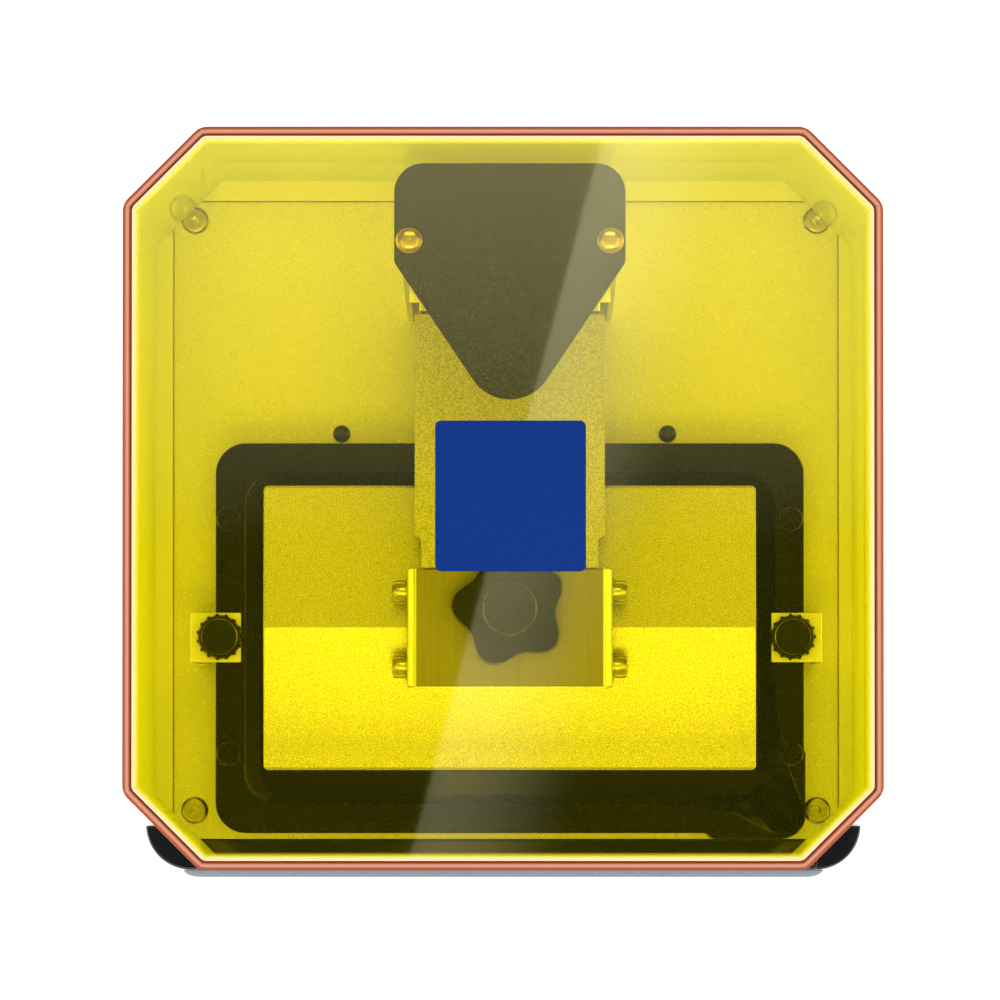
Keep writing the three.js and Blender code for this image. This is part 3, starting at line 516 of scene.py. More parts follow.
# The bead runs orange at its outer edge, pale in its middle and darker red at its inner edge; the pale
# middle is a painted highlight.
look_rim_painted_highlight = across_look(
    "rim_orange_painted_highlight",
    [
        (0.0, (0.36, 0.055, 0.014)), (0.22, (0.38, 0.07, 0.022)), (0.42, (0.56, 0.28, 0.18)),
        (0.58, (0.56, 0.28, 0.18)), (0.78, (0.27, 0.032, 0.006)), (1.0, (0.21, 0.018, 0.003)),
    ],
    0.4,
    Specular_IOR_Level=0.12,
)
look_glint = across_look(
    "edge_glint",
    [(0.0, (0.86, 0.76, 0.5)), (0.5, (0.88, 0.82, 0.46)), (1.0, (0.9, 0.88, 0.4))],
    0.5,
    [(0.0, 0.85), (0.35, 0.6), (0.65, 0.2), (1.0, 0.0)],
)
# A pale band that also glows: a painted highlight along the inside of the walls' top edge.
look_fillet_painted_glow = across_look(
    "fillet_painted_glow",
    [(0.0, (1.0, 0.99, 0.85)), (0.5, (1.0, 0.98, 0.6)), (1.0, (1.0, 0.93, 0.1))],
    0.4,
    [(0.0, 0.95), (0.4, 0.78), (0.75, 0.22), (1.0, 0.0)],
    glow=0.3,
)


# ------------------------------------------------------------------ fasteners and knobs
def button_screw(name, at, radius, height, material, slot="screws", node=None, flatness=0.2):
    """Round-headed screw with a hexagon socket."""
    flat, socket = radius * flatness, 2.5
    dome = [
        (flat + (radius - flat) * math.cos(a), height * (0.35 + 0.65 * math.sin(a)))
        for a in (0.0, 0.3, 0.6, 0.9, 1.2, math.pi / 2)
    ]
    rows = [(0.01, 0), (radius - 0.15, 0), (radius, 0.15)] + dome
    rows += [
        (hexagon(socket), height - 0.05),
        (hexagon(socket * 0.97), height - 1.3),
        (0.01, height - 1.5),
    ]
    piece = turned(name, rows, material, 48, at)
    return attach(piece, "root", slot, *([node] if node else []))


CAP_HEAD = 4.1  # height of a cylinder head
STOP_SCREW = {"middle": 0.4, "reach": 50.7, "y": 27.0}  # black screws behind the vat


def cap_head(name, at, towards, node):
    """Cylinder-head screw seen on the bracket's flanks, with its washer."""
    radius, length, socket = 3.6, CAP_HEAD, 3.0
    rows = [
        (0.01, -0.35),
        (4.3, -0.35),
        (4.3, -0.05),
        (radius - 0.2, -0.05),
        (radius, 0.2),
        (radius, length - 1.1),
        (radius - 0.35, length - 0.35),
        (radius - 1.1, length),
        (socket * 0.66, length),
        (hexagon(socket), length - 0.1),
        (hexagon(socket * 0.97), length - 2),
        (0.01, length - 2.2),
    ]
    piece = turned(name, rows, look_screw, 48, at, towards)
    return attach(piece, "platform", "screws", node)


def paint_edge_highlight(piece, highlight_look):
    """Gives the sloping edges of a turned piece a lighter, shinier look: a painted highlight along
    those edges.
    """
    piece.data.materials.append(highlight_look)
    for polygon in piece.data.polygons:
        if 0.12 < polygon.normal.z < 0.85:
            polygon.material_index = 1
    return piece


def star_knob():
    """Five-lobed clamp knob with a raised hub."""
    low, high = span("star_knob")
    top, first = high.z, math.radians(32)

    def lobes(swell):
        return lambda angle: (16.1 - swell) + (2.0 - swell * 0.3) * math.cos(5 * (angle - first))

    rows = [
        (0.01, low.z + 0.2),
        (2.8, low.z + 0.2),
        (2.8, low.z + 2.7),
        (6.3, low.z + 2.7),
        (6.5, low.z + 2.9),
        (6.5, low.z + 6.2),
        (lobes(1.6), low.z + 6.2),
        (lobes(0.5), low.z + 6.5),
        (lobes(0), low.z + 7.3),
        (lobes(0), top - 3.0),
        (lobes(0.35), top - 2.1),
        (lobes(1.3), top - 1.7),
        (lobes(3.0), top - 1.62),
        (8.9, top - 1.6),
        (8.6, top - 1.75),
        (8.3, top - 0.5),
        (7.9, top - 0.05),
        (7.3, top),
        (4.8, top - 0.1),
        (4.2, top - 0.45),
        (0.01, top - 0.5),
    ]
    piece = turned("star_knob_moulding", rows, look_knob, 120, (MIDDLE, KNOB_Y, 0))
    attach(paint_edge_highlight(piece, look_knob_highlight), "star_knob_body", "knob_plastic", "star_knob")


def thumb_knob(side):
    """Fluted thumb screw."""
    node = f"thumb_screw_{side}"
    low, high = span(node)
    at = centre(node)
    ribs = 15

    def fluted(shrink):
        return lambda angle: 6.65 - shrink + 0.6 * abs(math.cos(ribs * angle / 2)) ** 5

    seat = low.z + 2.8
    rows = [
        (0.01, low.z),
        (1.9, low.z),
        (2.0, low.z + 0.2),
        (2.0, seat + 0.2),
        (5.0, seat + 0.2),
        (5.2, seat + 0.4),
        (5.2, seat + 3.4),
        (fluted(0.5), seat + 3.4),
        (fluted(0), seat + 3.9),
        (fluted(0), high.z - 1.4),
        (fluted(0.3), high.z - 0.8),
        (6.35, high.z - 0.6),
        (6.2, high.z - 0.1),
        (5.9, high.z),
        (5.6, high.z - 0.15),
        (5.3, high.z - 0.5),
        (0.01, high.z - 0.55),
    ]
    piece = turned(f"{node}_knob", rows, look_knob, 180, (at.x, at.y, 0))
    attach(paint_edge_highlight(piece, look_knob_highlight), f"{node}_body", "knob_plastic", node)


def screws():
    for end in ("front", "rear"):
        for side in ("left", "right"):
            node = f"deck_screw_{end}_{side}"
            at = centre(node)
            button_screw(
                f"deck_button_screw_{end}_{side}", (at.x, at.y, DECK_FACE), 4.2, 1.9, look_deck_screw,
                node=node, flatness=0.78,
            )
            node = f"level_screw_{end}_{side}"
            at = centre(node)
            low, high = span(node)
            seat, towards = (low.x + CAP_HEAD, "-X") if side == "left" else (high.x - CAP_HEAD, "+X")
            cap_head(f"level_cap_screw_{end}_{side}", (seat, at.y, at.z), towards, node)
    for side in ("left", "right"):
        node = f"cap_screw_{side}"
        at = centre(node)
        button_screw(
            f"cap_button_screw_{side}", (at.x, at.y, span(node)[0].z + 2.9), 4.1, 2.3, look_gold,
            slot="brass", node=node,
        )
        x = STOP_SCREW["middle"] + STOP_SCREW["reach"] * (-1 if side == "left" else 1)
        button_screw(
            f"vat_stop_screw_{side}", (x, STOP_SCREW["y"], DECK_FACE), 2.7, 4.2, look_black_screw,
            slot="black_metal",
        )


def feet():
    for end in ("front", "rear"):
        for side in ("left", "right"):
            node = f"foot_{end}_{side}"
            at, top = centre(node), span(node)[1].z
            rows = [
                (0.01, 0.6), (5.0, 0.6), (5.4, 0.05), (8.0, 0.0), (8.7, 0.4), (9.1, 1.2),
                (9.5, top - 0.3), (9.3, top), (0.01, top),
            ]
            piece = turned(f"{node}_pad", rows, look_rubber, 64, (at.x, at.y, 0))
            attach(piece, "root", "rubber", node)


# ------------------------------------------------------------------ tower cap, label and bracket
def tower_cap():
    low, high = span("tower_cap")
    half, back, shoulder, apex = (high.x - low.x) / 2, high.y, 69.6, 19.05
    corners = [
        (MIDDLE - half, back, 8.6),
        (MIDDLE - half, shoulder, 3),
        (MIDDLE, apex, 13),
        (MIDDLE + half, shoulder, 3),
        (MIDDLE + half, back, 8.6),
    ]
    piece = slab("tower_cap_plate", rounded(corners, 24), low.z, high.z, look_cap, 0.25, 0.35)
    attach(piece, "root", "cap", "tower_cap")


def label():
    low, high = span("cover_label")
    outline = rounded_rect(low.x, high.x, low.y, high.y, 1.8)
    piece = slab("cover_label_film", outline, low.z, high.z, look_label, 0.02, 0.12)
    attach(piece, "cover", "label", "cover_label")


def bracket():
    """Folded sheet over the arm's end, with slots for the level screws."""
    low, high = span("platform_bracket")
    bend, sheet = 3.6, 2.0
    path = [(low.x, low.z), (low.x, high.z - bend)]
    for k in range(1, 9):
        angle = math.pi - math.pi / 2 * k / 8
        path.append((low.x + bend + bend * math.cos(angle), high.z - bend + bend * math.sin(angle)))
    path += [(2 * MIDDLE - x, z) for x, z in reversed(path)]
    piece = bent_sheet("platform_bracket_fold", path, low.y, high.y, sheet, look_bracket)
    cutters = []
    for end in ("front", "rear"):
        at = centre(f"level_screw_{end}_left")
        slot, place = [(2.8, -80), (2.8, 80)], (MIDDLE, at.y, at.z)
        cutters.append(turned("slot_cutter", slot, look_bracket, 32, place, "+X"))
    stud = [(3.1, 225), (3.1, 245)]
    cutters.append(turned("stud_cutter", stud, look_bracket, 32, (MIDDLE, KNOB_Y, 0)))
    cut(piece, cutters)
    # The bends take that lighter copy, a painted highlight along both folds; the flat faces keep the
    # darker steel.
    piece.data.materials.append(look_painted_bend_highlight)
    for polygon in piece.data.polygons:
        bend = 0.2 < abs(polygon.normal.x) < 0.97 and polygon.normal.z > 0
        polygon.use_smooth = bend
        polygon.material_index = int(bend)
    attach(piece, "platform_mount", "bracket", "platform_bracket")


# ------------------------------------------------------------------ vat
LIP = Vector((88.5, -59.5))  # the pouring corner, from the vat's middle


def lip_drop(x, y):
    """How far the rim dips near the pouring corner."""
    near = max(0.0, 1 - (Vector((x, y)) - LIP).length / 17)
    return 3.2 * near * near * (3 - 2 * near)


def bezier(p0, p1, p2, steps):
    start, pull, end = Vector(p0), Vector(p1), Vector(p2)
    points = []
    for k in range(steps + 1):
        t = k / steps
        points.append(tuple(start * (1 - t) ** 2 + pull * 2 * t * (1 - t) + end * t * t))
    return points


def along(points, count):
    """That many points evenly spaced along a polyline."""
    lengths = [0.0]
    for a, b in zip(points, points[1:]):
        lengths.append(lengths[-1] + (Vector(b) - Vector(a)).length)
    spaced = []
    for k in range(count):
        target = lengths[-1] * k / (count - 1)
        i = max(j for j in range(len(points) - 1) if lengths[j] <= target + 1e-9)
        share = (target - lengths[i]) / max(1e-9, lengths[i + 1] - lengths[i])
        spaced.append(tuple(Vector(points[i]).lerp(Vector(points[i + 1]), share)))
    return spaced


def arc(cx, cy, radius, start, end, steps=10):
    points = []
    for k in range(steps + 1):
        angle = math.radians(start + (end - start) * k / steps)
        points.append((cx + radius * math.cos(angle), cy + radius * math.sin(angle)))
    return points


def vat_opening(hx, hy, r, spout, count=44):
    """Inner loop, with the stretch round the right front corner given by the caller."""
    loop = arc(-hx + r, -hy + r, r, 180, 270)
    loop += along(spout, count)
    loop += arc(hx - r, hy - r, r, 0, 90)
    loop += arc(-hx + r, hy - r, r, 90, 180)
    return loop


def vat():
    bottom = span("vat_frame")[0].z
    middle = Vector((MIDDLE, VAT_Y))
    rim, floor_z = 190.0, 158.75
    hx, hy = 90.65, 60.1
    outer = rounded(
        [
            (-hx, -hy, 9.4), (60.6, -hy, 2), (62.6, -61.8, 2), (91.15, -61.8, 7),
            (91.15, -35.6, 2), (hx, -34.2, 2), (hx, hy, 9.4), (-hx, hy, 9.4),
        ],
        12,
    )
    top_spout = (
        bezier((46, -50.7), (66, -50.9), (80.5, -59.6), 12)
        + arc(84.2, -54.9, 5.9, -75, -10, 8)
        + bezier((90.2, -52.6), (81.4, -35), (81.3, -12), 12)
    )
    floor_spout = [(44, -48.3)] + arc(71.5, -42.3, 6, -90, 0, 10) + [(77.5, -12)]
    top = vat_opening(81.3, 50.7, 9.7, top_spout)
    floor = vat_opening(77.5, 48.3, 6, floor_spout)

    def ring(loop, depth, z, dip=1.0):
        moved = inset(loop, depth) if depth else loop
        return [(x + middle.x, y + middle.y, z - dip * lip_drop(x, y)) for x, y in moved]

    fillet = 0.7
    inner_rings = []
    for k in range(5):
        angle = math.pi / 2 * k / 4
        outwards, sunk = fillet * (1 - math.sin(angle)), fillet * (1 - math.cos(angle))
        inner_rings.append(ring(top, -outwards, rim - sunk))
    levels = 9
    for k in range(1, levels + 1):
        t = k / levels
        blended = []
        for (tx, ty), (fx, fy) in zip(top, floor):
            pull = t ** (1 - 0.35 * min(1.0, lip_drop(tx, ty)))
            blended.append(
                (
                    tx + (fx - tx) * pull + middle.x,
                    ty + (fy - ty) * pull + middle.y,
                    rim - fillet + (floor_z - rim + fillet) * t - lip_drop(tx, ty) * (1 - t),
                )
            )
        inner_rings.append(blended)
    outer_rings = []
    for depth, z in edge_profile(bottom, rim, 0.4, 0.6):
        outer_rings.append(ring(outer, depth, z, 1.0 if z > rim - 1 else 0.0))

    points, faces = [], []

    def add(rings):
        """Adds the wall and returns the point numbers of its first and its last ring."""
        first = len(points)
        found, made = skin(rings, False, False)
        points.extend(found)
        faces.extend(tuple(first + i for i in face) for face in made)
        size, after = len(rings[0]), len(points)
        return list(range(first, first + size)), list(range(after - size, after))

    def fill(outer_ids, inner_ids):
        """Closes the flat band between two rings."""
        loops = [[Vector(points[i]) for i in outer_ids], [Vector(points[i]) for i in inner_ids]]
        ids = outer_ids + inner_ids
        for face in tessellate_polygon([[Vector((p.x, p.y, 0)) for p in loop] for loop in loops]):
            faces.append(tuple(ids[i] for i in face))

    outer_first, outer_last = add(outer_rings)
    inner_first, inner_last = add(inner_rings)
    fill(outer_last, inner_first)
    fill(outer_first, inner_last)
    piece = mesh_piece("vat_body", points, faces, look_vat, math.radians(40))
    # Inner walls facing left, on the right and round the pouring corner, take the lighter copy:
    # painted light.
    piece.data.materials.append(look_vat_painted_light_wall)
    for polygon in piece.data.polygons:
        inside = abs(polygon.center.x / MM - middle.x) < 90 and abs(polygon.normal.z) < 0.85
        if inside and polygon.normal.x < -0.3:
            polygon.material_index = 1
    attach(piece, "vat", "vat", "vat_frame")

    for sx, column in ((-1, "left"), (1, "right")):
        for y, end in ((36.7, "rear"), (-35.7, "front")):
            rows = [
                (0.01, rim - 0.6), (3.7, rim - 0.6), (3.7, rim + 0.45),
                (3.45, rim + 0.7), (2.95, rim + 0.7), (2.8, rim + 0.25),
                (2.5, rim + 0.25), (2.35, rim + 0.55), (0.01, rim + 0.6),
            ]
            at = (middle.x + sx * 86.7, middle.y + y, 0)
            boss = paint_edge_highlight(turned(f"vat_boss_{end}_{column}", rows, look_vat, 48, at), look_vat_highlight)
            attach(boss, "vat", "vat")


# ------------------------------------------------------------------ cover
WALL = 2.8
CHAMFER = 22.5  # how far each cut corner reaches along a wall
RIM = {"width": 2.75, "drop": 1.9}  # orange bead along the top edge
GLINT = 1.6  # width of the pale line inside the bead
FILLET = 2.4  # fillet under the top panel, along the walls; its pale colour and glow are a painted highlight


def octagon(inward):
    """Cover outline, moved inwards from its outer face."""
    high = span("cover_shell")[1]
    hx, hy, leg = high.x - inward, high.y - inward, CHAMFER - inward * (2 - math.sqrt(2))
    corners = [
        (-hx + leg, -hy), (hx - leg, -hy), (hx, -hy + leg), (hx, hy - leg),
        (hx - leg, hy), (-hx + leg, hy), (-hx, hy - leg), (-hx, -hy + leg),
    ]
    return rounded([(x, y, max(0.8, 5.5 - inward)) for x, y in corners], 8)


def ring_of(inward, z):
    return [(x, y, z) for x, y in octagon(inward)]


def strip(name, rows, material):
    """A closed ring of (inset, height, across) rows, with across stored on its points."""
    rings = [ring_of(inward, z) for inward, z, _ in rows]
    piece = mesh_piece(name, *skin(rings, loop=True), material)
    store = piece.data.attributes.new("across", "FLOAT", "POINT")
    for vertex in piece.data.vertices:
        point = vertex.co / MM
        nearest = min(rows, key=lambda row: abs(row[1] - point.z) + abs(row[0] - depth_of(point)))
        store.data[vertex.index].value = nearest[2]
    return piece


def depth_of(point):
    """How far inside the cover's outline a point lies."""
    high = span("cover_shell")[1]
    to_side = high.x - abs(point.x)
    to_end = high.y - abs(point.y)
    to_chamfer = (high.x + high.y - CHAMFER - abs(point.x) - abs(point.y)) / math.sqrt(2)
    return min(to_side, to_end, to_chamfer)


def cover():
    low, high = span("cover_shell")
    shoulder = high.z - RIM["drop"] - 0.05
    outer = [
        ring_of(inward, z)
        for inward, z in (
            (WALL, low.z),
            (0.3, low.z),
            (0, low.z + 0.3),
            (0, shoulder),
            (RIM["width"] + 0.05, shoulder),
            (RIM["width"] + 0.05, high.z - 0.15),
            (RIM["width"] + 0.2, high.z),
        )
    ]
    inner = [
        ring_of(inward, z)
        for inward, z in ((WALL + 0.3, high.z - WALL), (WALL, high.z - WALL - 0.3), (WALL, low.z))
    ]
    points, faces = skin(outer, False, True)
    first = len(points)
    found, made = skin(inner, True, False)
    shell = mesh_piece(
        "cover_panels", points + found, faces + [tuple(first + i for i in f) for f in made], look_cover
    )
    shell.data.materials.append(look_cover_front)
    for polygon in shell.data.polygons:
        if abs(polygon.normal.y) > 0.9 and polygon.center.y < 0:
            polygon.material_index = 1
    attach(shell, "cover", "cover", "cover_shell")

    width, drop = RIM["width"], RIM["drop"]
    rows = [(0.1, high.z - drop, 0.0)]
    for k in range(13):
        angle = math.pi * k / 12
        share = (1 - math.cos(angle)) / 2
        rows.append((width * share, high.z - 1.0 + math.sin(angle), share))
    rows.append((width - 0.1, high.z - drop, 1.0))
    attach(strip("cover_rim", rows, look_rim_painted_highlight), "cover", None)

    rows = []
    for k in range(10):
        lift = 0.02 if k in (0, 9) else 0.05
        rows.append((width + GLINT * k / 9, high.z + 0.03 + lift, k / 9))
    rows += [(width + GLINT, high.z + 0.02, 1.0), (width, high.z + 0.02, 0.0)]
    attach(strip("cover_edge_glint", rows, look_glint), "cover", None)

    # The fillet strip carries the pale, glowing painted highlight.
    under = high.z - WALL - 0.02
    inside = WALL + 0.02
    rows = [(inside, under, 0.0)]
    for k in range(7):
        share = k / 6
        rows.append((inside + FILLET * share, under - FILLET * 0.5 * (1 - share) ** 2 - 0.02, share))
    rows.append((inside + FILLET, under, 1.0))
    attach(strip("cover_fillet_painted_glow", rows, look_fillet_painted_glow), "cover", None)


# ------------------------------------------------------------------ lead screw and fan
def lead_screw():
    """Four-start trapezoid thread, 8 mm a turn."""
    low, high = span("lead_screw")
    at = centre("lead_screw")
    lead, starts, depth, step, around = 8.0, 4, 0.75, 0.34, 32
    rings = []
    count = int((high.z - low.z) / step)
    for i in range(count + 1):
        z = low.z + (high.z - low.z) * i / count
        ring = []
        for k in range(around):
            angle = TURN * k / around
            phase = (starts * (z / lead - angle / TURN)) % 1
            wave = min(1.0, max(0.0, 2.2 - abs(phase - 0.5) * 8))
            radius = 4.0 - depth * (1 - wave)
            ring.append((at.x + radius * math.cos(angle), at.y + radius * math.sin(angle), z))
        rings.append(ring)
    piece = mesh_piece("lead_screw_thread", *skin(rings), look_screw)
    attach(piece, "lead_screw_body", "steel", "lead_screw")


def fan():
    """Seven curved blades round a hub; the wire guard on the back is made by fan_guard."""
    at = centre("fan_rotor")
    low, high = span("fan_rotor")
    blades, half_chord = 7, 5.6
    section = (
        (-1, -0.2), (-0.5, -0.55), (0.5, -0.55), (1, -0.2),
        (1, 0.2), (0.5, 0.45), (-0.5, 0.45), (-1, 0.2),
    )
    for i in range(blades):
        rings = []
        for k in range(7):
            radius = 11 + 15 * k / 6
            twist = math.radians(42 - 16 * k / 6)
            lean = TURN * i / blades + 0.32 * (k / 6) ** 1.5
            ring = []
            for across, thick in section:
                side = across * half_chord * math.cos(twist) - thick * math.sin(twist)
                deep = across * half_chord * math.sin(twist) + thick * math.cos(twist)
                angle = lean + side / radius
                x, z = radius * math.cos(angle), radius * math.sin(angle)
                ring.append((at.x + x, at.y + deep, at.z + z))
            rings.append(ring)
        piece = mesh_piece(f"fan_blade_{i + 1}", *skin(rings), look_black)
        attach(piece, "fan_rotor_body", "black_plastic")
    front, back = low.y - at.y, high.y - at.y
    rows = [
        (0.01, front), (11.2, front), (12, front + 0.8),
        (12, back - 0.8), (11.2, back), (0.01, back),
    ]
    hub = turned("fan_hub", rows, look_black, 48, at, "+Y")
    attach(hub, "fan_rotor_body", "black_plastic", "fan_rotor")


def wire_ring(name, middle, radius, wire, material, steps=72, around=10):
    rings = []
    for i in range(steps):
        angle = TURN * i / steps
        out = Vector((math.cos(angle), 0, math.sin(angle)))
        ring = []
        for k in range(around):
            t = TURN * k / around
            aside = Vector((0, wire * math.sin(t), 0))
            ring.append(Vector(middle) + out * (radius + wire * math.cos(t)) + aside)
        rings.append(ring)
    return mesh_piece(name, *skin(rings, loop=True), material)


def fan_guard():
    at = centre("fan_guard")
    wire = 0.75
    middle = (at.x, span("fan_guard")[1].y - wire, at.z)
    for i, radius in enumerate((9, 14, 19, 24, 29)):
        ring = wire_ring(f"fan_guard_ring_{i + 1}", middle, radius, wire, look_screw)
        attach(ring, "root", "steel", *(["fan_guard"] if i == 0 else []))
    for i in range(4):
        angle = math.pi / 4 + math.pi / 2 * i
        rows = [(0.01, 9), (wire, 9), (wire, 31), (0.01, 31)]
        spoke = turned(f"fan_guard_spoke_{i + 1}", rows, look_screw, 12)
        turn = Matrix.Rotation(math.pi / 2 - angle, 4, "Y")
        spoke.data.transform(turn)
        spoke.data.transform(Matrix.Translation(Vector((at.x, middle[1] - 1.0, at.z)) * MM))
        attach(spoke, "root", "steel")


# ------------------------------------------------------------------ front panel
def lcd_border():
    """Thin black glass sheet over the screen and its border, inside the vat's opening."""
    half_x, half_y = 79.5, 50.3
    outline = rounded_rect(MIDDLE - half_x, MIDDLE + half_x, VAT_Y - half_y, VAT_Y + half_y, 7)
    sheet = slab("lcd_border_sheet", outline, DECK_FACE - 0.04, DECK_FACE, look_border, 0.01, 0.01)
    attach(sheet, "root", "panel_glass")


def touch_screen():
    low, high = span("touch_screen")
    outline = rounded_rect(low.x, high.x, low.z, high.z, 2.5)  # in (x, z)
    rings = []
    for depth, y in edge_profile(0, high.y - low.y, 0.2, 0.5):
        ring = inset(outline, depth) if depth > 1e-6 else outline
        rings.append([(x, high.y - y, z) for x, z in ring])
    piece = mesh_piece("touch_screen_glass", *skin(rings), look_glass)
    attach(piece, "root", "screen", "touch_screen")


# ------------------------------------------------------------------ carried-over CAD nodes
# Node, look, eased edge in mm, segments, crisp.
CARRIED = [
    ("main_housing", look_housing, 0.4),
    ("front_bezel", look_bezel, 2.4, 5),
    ("front_fascia", look_fascia, 0.4, 3),
    ("bottom_plate", look_black, 0.3),
    ("deck_plate", look_deck, 0.35),
    ("lcd_panel", look_glass, 0.2),
    ("light_hood", look_hood, 0.3),
    ("lens_array", look_film, 0),
    ("led_board", look_board, 0.1),
    ("mainboard", look_board, 0.1),
    ("heat_sink", look_tower, 0.2),
    ("fan_frame", look_black, 0.3),
    ("power_inlet", look_black, 0.25),
    ("power_switch_body", look_black, 0.25),
    ("power_rocker", look_knob, 0.3, 3),
    ("usb_port", look_screw, 0.15),
    ("z_motor", look_black, 0.3),
    ("motor_mount", look_steel, 0.2),
    ("shaft_coupler", look_tower, 0.3),
    ("tower_frame", look_tower, 0.3),
    ("tower_top_plate", look_tower, 0.3),
    ("top_bearing", look_screw, 0.15),
    ("guide_rail", look_steel, 0.3),
    ("rail_carriage", look_steel, 0.4),
    ("carriage_block", look_tower, 0.4),
    ("lead_nut", look_gold, 0.2),
    ("arm_shell", look_arm, 0.3, 3),
    ("arm_tongue", look_steel, 0.3),
    ("platform_block", look_tower, 0.4),
    ("build_plate", look_plate, 0.35, 3, True),
    ("film_ring", look_screw, 0.1),
    ("vat_film", look_film, 0),
    ("vat_bracket_left", look_clamp, 0.35, 3),
    ("vat_bracket_right", look_clamp, 0.35, 3),
]


def carried_over():
    for node, material, *finish in CARRIED:
        dress(node, material, *finish)


# ------------------------------------------------------------------ studio
def area_light(name, place, at, size, power):
    data = bpy.data.lights.new(name, "AREA")
    data.shape = "RECTANGLE"
    data.size, data.size_y = size
    data.energy = power
    lamp = bpy.data.objects.new(name, data)
    lamp.location = place
    bpy.context.scene.collection.objects.link(lamp)
    lamp.rotation_mode = "QUATERNION"
    lamp.rotation_quaternion = (Vector(at) - lamp.location).to_track_quat("-Z", "Y")
    lamp.visible_camera = False


def floor():
    look = Look(
        "floor_paper", Roughness=0.8, Specular_IOR_Level=0.1,
        Emission_Color=(1, 1, 1), Emission_Strength=0.3,
    )
    look.colour(look.ramp(look.noise(3, 2), [(0.3, (0.93, 0.93, 0.93)), (0.7, (0.95, 0.95, 0.95))]))
    half, z = 9000, -0.2
    points = [(-half, -half, z), (half, -half, z), (half, half, z), (-half, half, z)]
    piece = mesh_piece("studio_floor", points, [(0, 1, 2, 3)], look.material)


def maths(nodes, links, kind, a, b):
    """Joins two values, each a number or a socket."""
    made = nodes.new("ShaderNodeMath")
    made.operation = kind
    for socket, value in zip(made.inputs, (a, b)):
        if isinstance(value, (int, float)):
            socket.default_value = value
        else:
            links.new(value, socket)
    return made.outputs["Value"]


# Brightness of the tent: towards the front and the back, at the sides, and overall.
TENT = {"front": 1.14, "back": 0.64, "side": 0.42, "gain": 1.44}


def world():
    """White studio tent, brighter overhead and towards the front."""
    made = bpy.data.worlds.new("studio")
    bpy.context.scene.world = made
    made.use_nodes = True
    nodes, links = made.node_tree.nodes, made.node_tree.links
    background = nodes["Background"]
    where = nodes.new("ShaderNodeTexCoord")
    split = nodes.new("ShaderNodeSeparateXYZ")
    links.new(where.outputs["Generated"], split.inputs["Vector"])

    def spread(axis, limits):
        return map_range(nodes, links, split.outputs[axis], limits, "SMOOTHSTEP")

    front = spread("Y", (-0.24, 0.2, TENT["front"], TENT["back"]))
    high = spread("Z", (0.8, 0.93, TENT["side"] * TENT["gain"], TENT["gain"]))
    sky = maths(nodes, links, "MULTIPLY", front, high)
    path = nodes.new("ShaderNodeLightPath")
    mix = nodes.new("ShaderNodeMixRGB")
    mix.inputs["Color2"].default_value = (1, 1, 1, 1)
    links.new(path.outputs["Is Camera Ray"], mix.inputs["Fac"])
    links.new(sky, mix.inputs["Color1"])
    links.new(mix.outputs["Color"], background.inputs["Color"])


# The card's outline in mm, and its streak: lean of the sharp edge, its place and its fade in metres.
CARD = {
    "half": 360, "front": -200, "back": 540, "height": 6000,
    "slant": 0.268, "offset": 0.0476, "fade": 0.125,
}


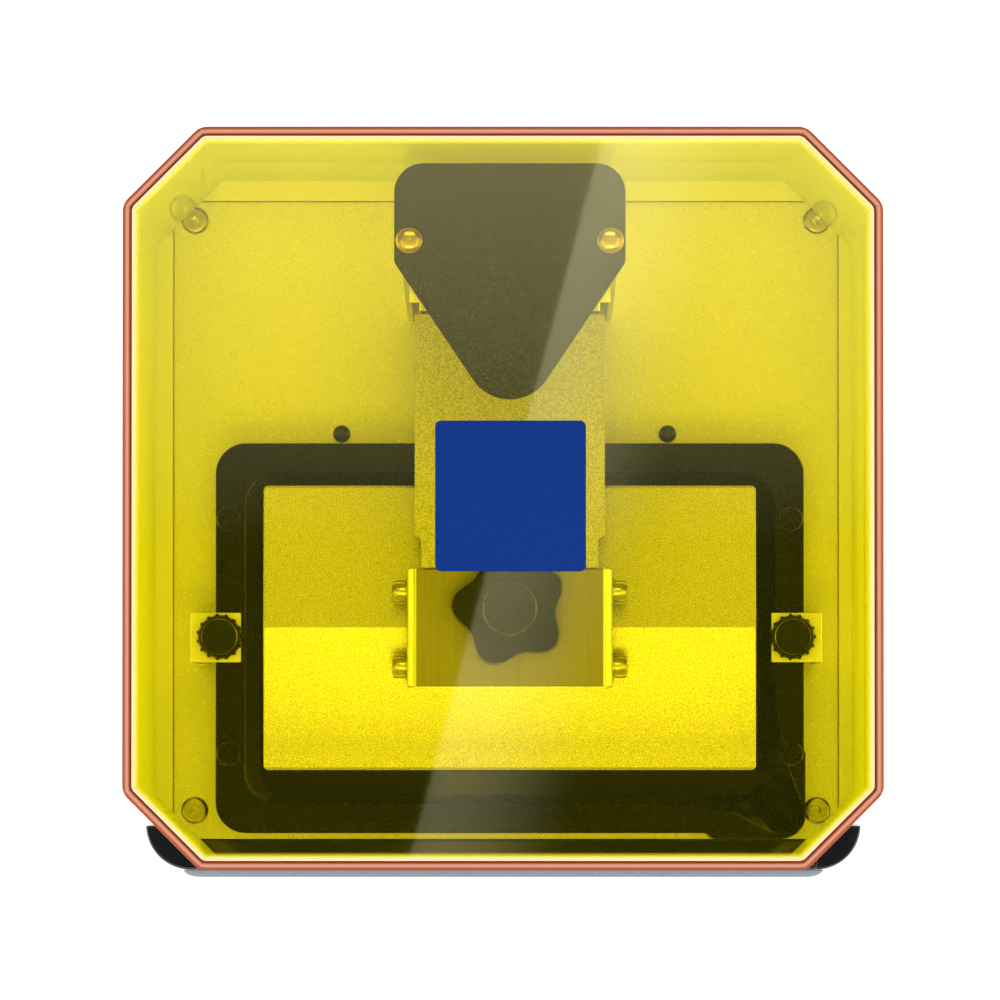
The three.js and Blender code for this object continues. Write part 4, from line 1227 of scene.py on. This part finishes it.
def reflector():
    """A card high above, seen in mirrors only: the cover's top shows it as a streak and a haze."""
    material = bpy.data.materials.new("reflector_card")
    material.use_nodes = True
    nodes, links = material.node_tree.nodes, material.node_tree.links
    nodes.clear()
    output = nodes.new("ShaderNodeOutputMaterial")
    glow = nodes.new("ShaderNodeEmission")
    links.new(glow.outputs["Emission"], output.inputs["Surface"])
    where = nodes.new("ShaderNodeTexCoord")
    split = nodes.new("ShaderNodeSeparateXYZ")
    links.new(where.outputs["Object"], split.inputs["Vector"])

    def spread(value, *limits, kind="LINEAR"):
        return map_range(nodes, links, value, limits, kind)

    def join(kind, a, b):
        return maths(nodes, links, kind, a, b)

    along_y = split.outputs["Y"]
    slanted = join("SUBTRACT", split.outputs["X"], join("MULTIPLY", along_y, CARD["slant"]))
    edge = join("ADD", slanted, CARD["offset"])
    step = spread(edge, -0.001, 0.001, 0.0, 1.0)
    fade = spread(edge, 0.01, CARD["fade"], 1.0, 0.0, kind="SMOOTHSTEP")
    power = spread(along_y, -0.06, 0.41, 1.5, 2.7)
    streak = join("MULTIPLY", join("MULTIPLY", step, fade), power)
    haze = spread(along_y, 0.14, 0.47, 0.0, 2.3)
    links.new(join("ADD", streak, haze), glow.inputs["Strength"])
    half, front, back, z = CARD["half"], CARD["front"], CARD["back"], CARD["height"]
    points = [(-half, front, z), (half, front, z), (half, back, z), (-half, back, z)]
    card = mesh_piece("reflector_card", points, [(0, 1, 2, 3)], material)
    card.visible_camera = False
    card.visible_diffuse = False
    card.visible_shadow = False
    card.visible_transmission = False


def camera():
    data = bpy.data.cameras.new("camera")
    data.sensor_width = 36
    data.lens = 413.9
    data.clip_end = 100
    made = bpy.data.objects.new("camera", data)
    made.location = (0.001456, -0.10548, 3.733)
    ahead = Vector((-0.000695, 0.031297, -0.99951)).normalized()
    right = ahead.cross(Vector((0, 1, 0))).normalized()
    turn = Matrix((right, right.cross(ahead), -ahead)).transposed()
    made.rotation_euler = turn.to_euler()
    bpy.context.scene.collection.objects.link(made)
    bpy.context.scene.camera = made


def studio():
    bpy.context.scene.view_settings.view_transform = "Standard"
    world()
    floor()
    reflector()
    area_light("key", (-1.5, -0.9, 2.4), (0, 0, 0.2), (2.0, 2.0), 12)
    area_light("fill", (1.7, -0.3, 2.3), (0, 0, 0.2), (1.8, 2.0), 15)
    area_light("front", (0, -1.15, 3.9), (0, 0, 0.2), (1.6, 0.7), 14)
    area_light("side_left", (-2.1, -0.1, 0.75), (0, 0, 0.25), (1.5, 0.9), 15)
    area_light("side_right", (2.1, -0.1, 0.75), (0, 0, 0.25), (1.5, 0.9), 15)
    area_light("back", (0, 1.1, 2.4), (0, 0.1, 0.15), (1.4, 0.7), 8)


camera()
studio()
carried_over()
screws()
feet()
star_knob()
for which in ("left", "right"):
    thumb_knob(which)
tower_cap()
label()
bracket()
vat()
cover()
lead_screw()
fan()
fan_guard()
lcd_border()
touch_screen()
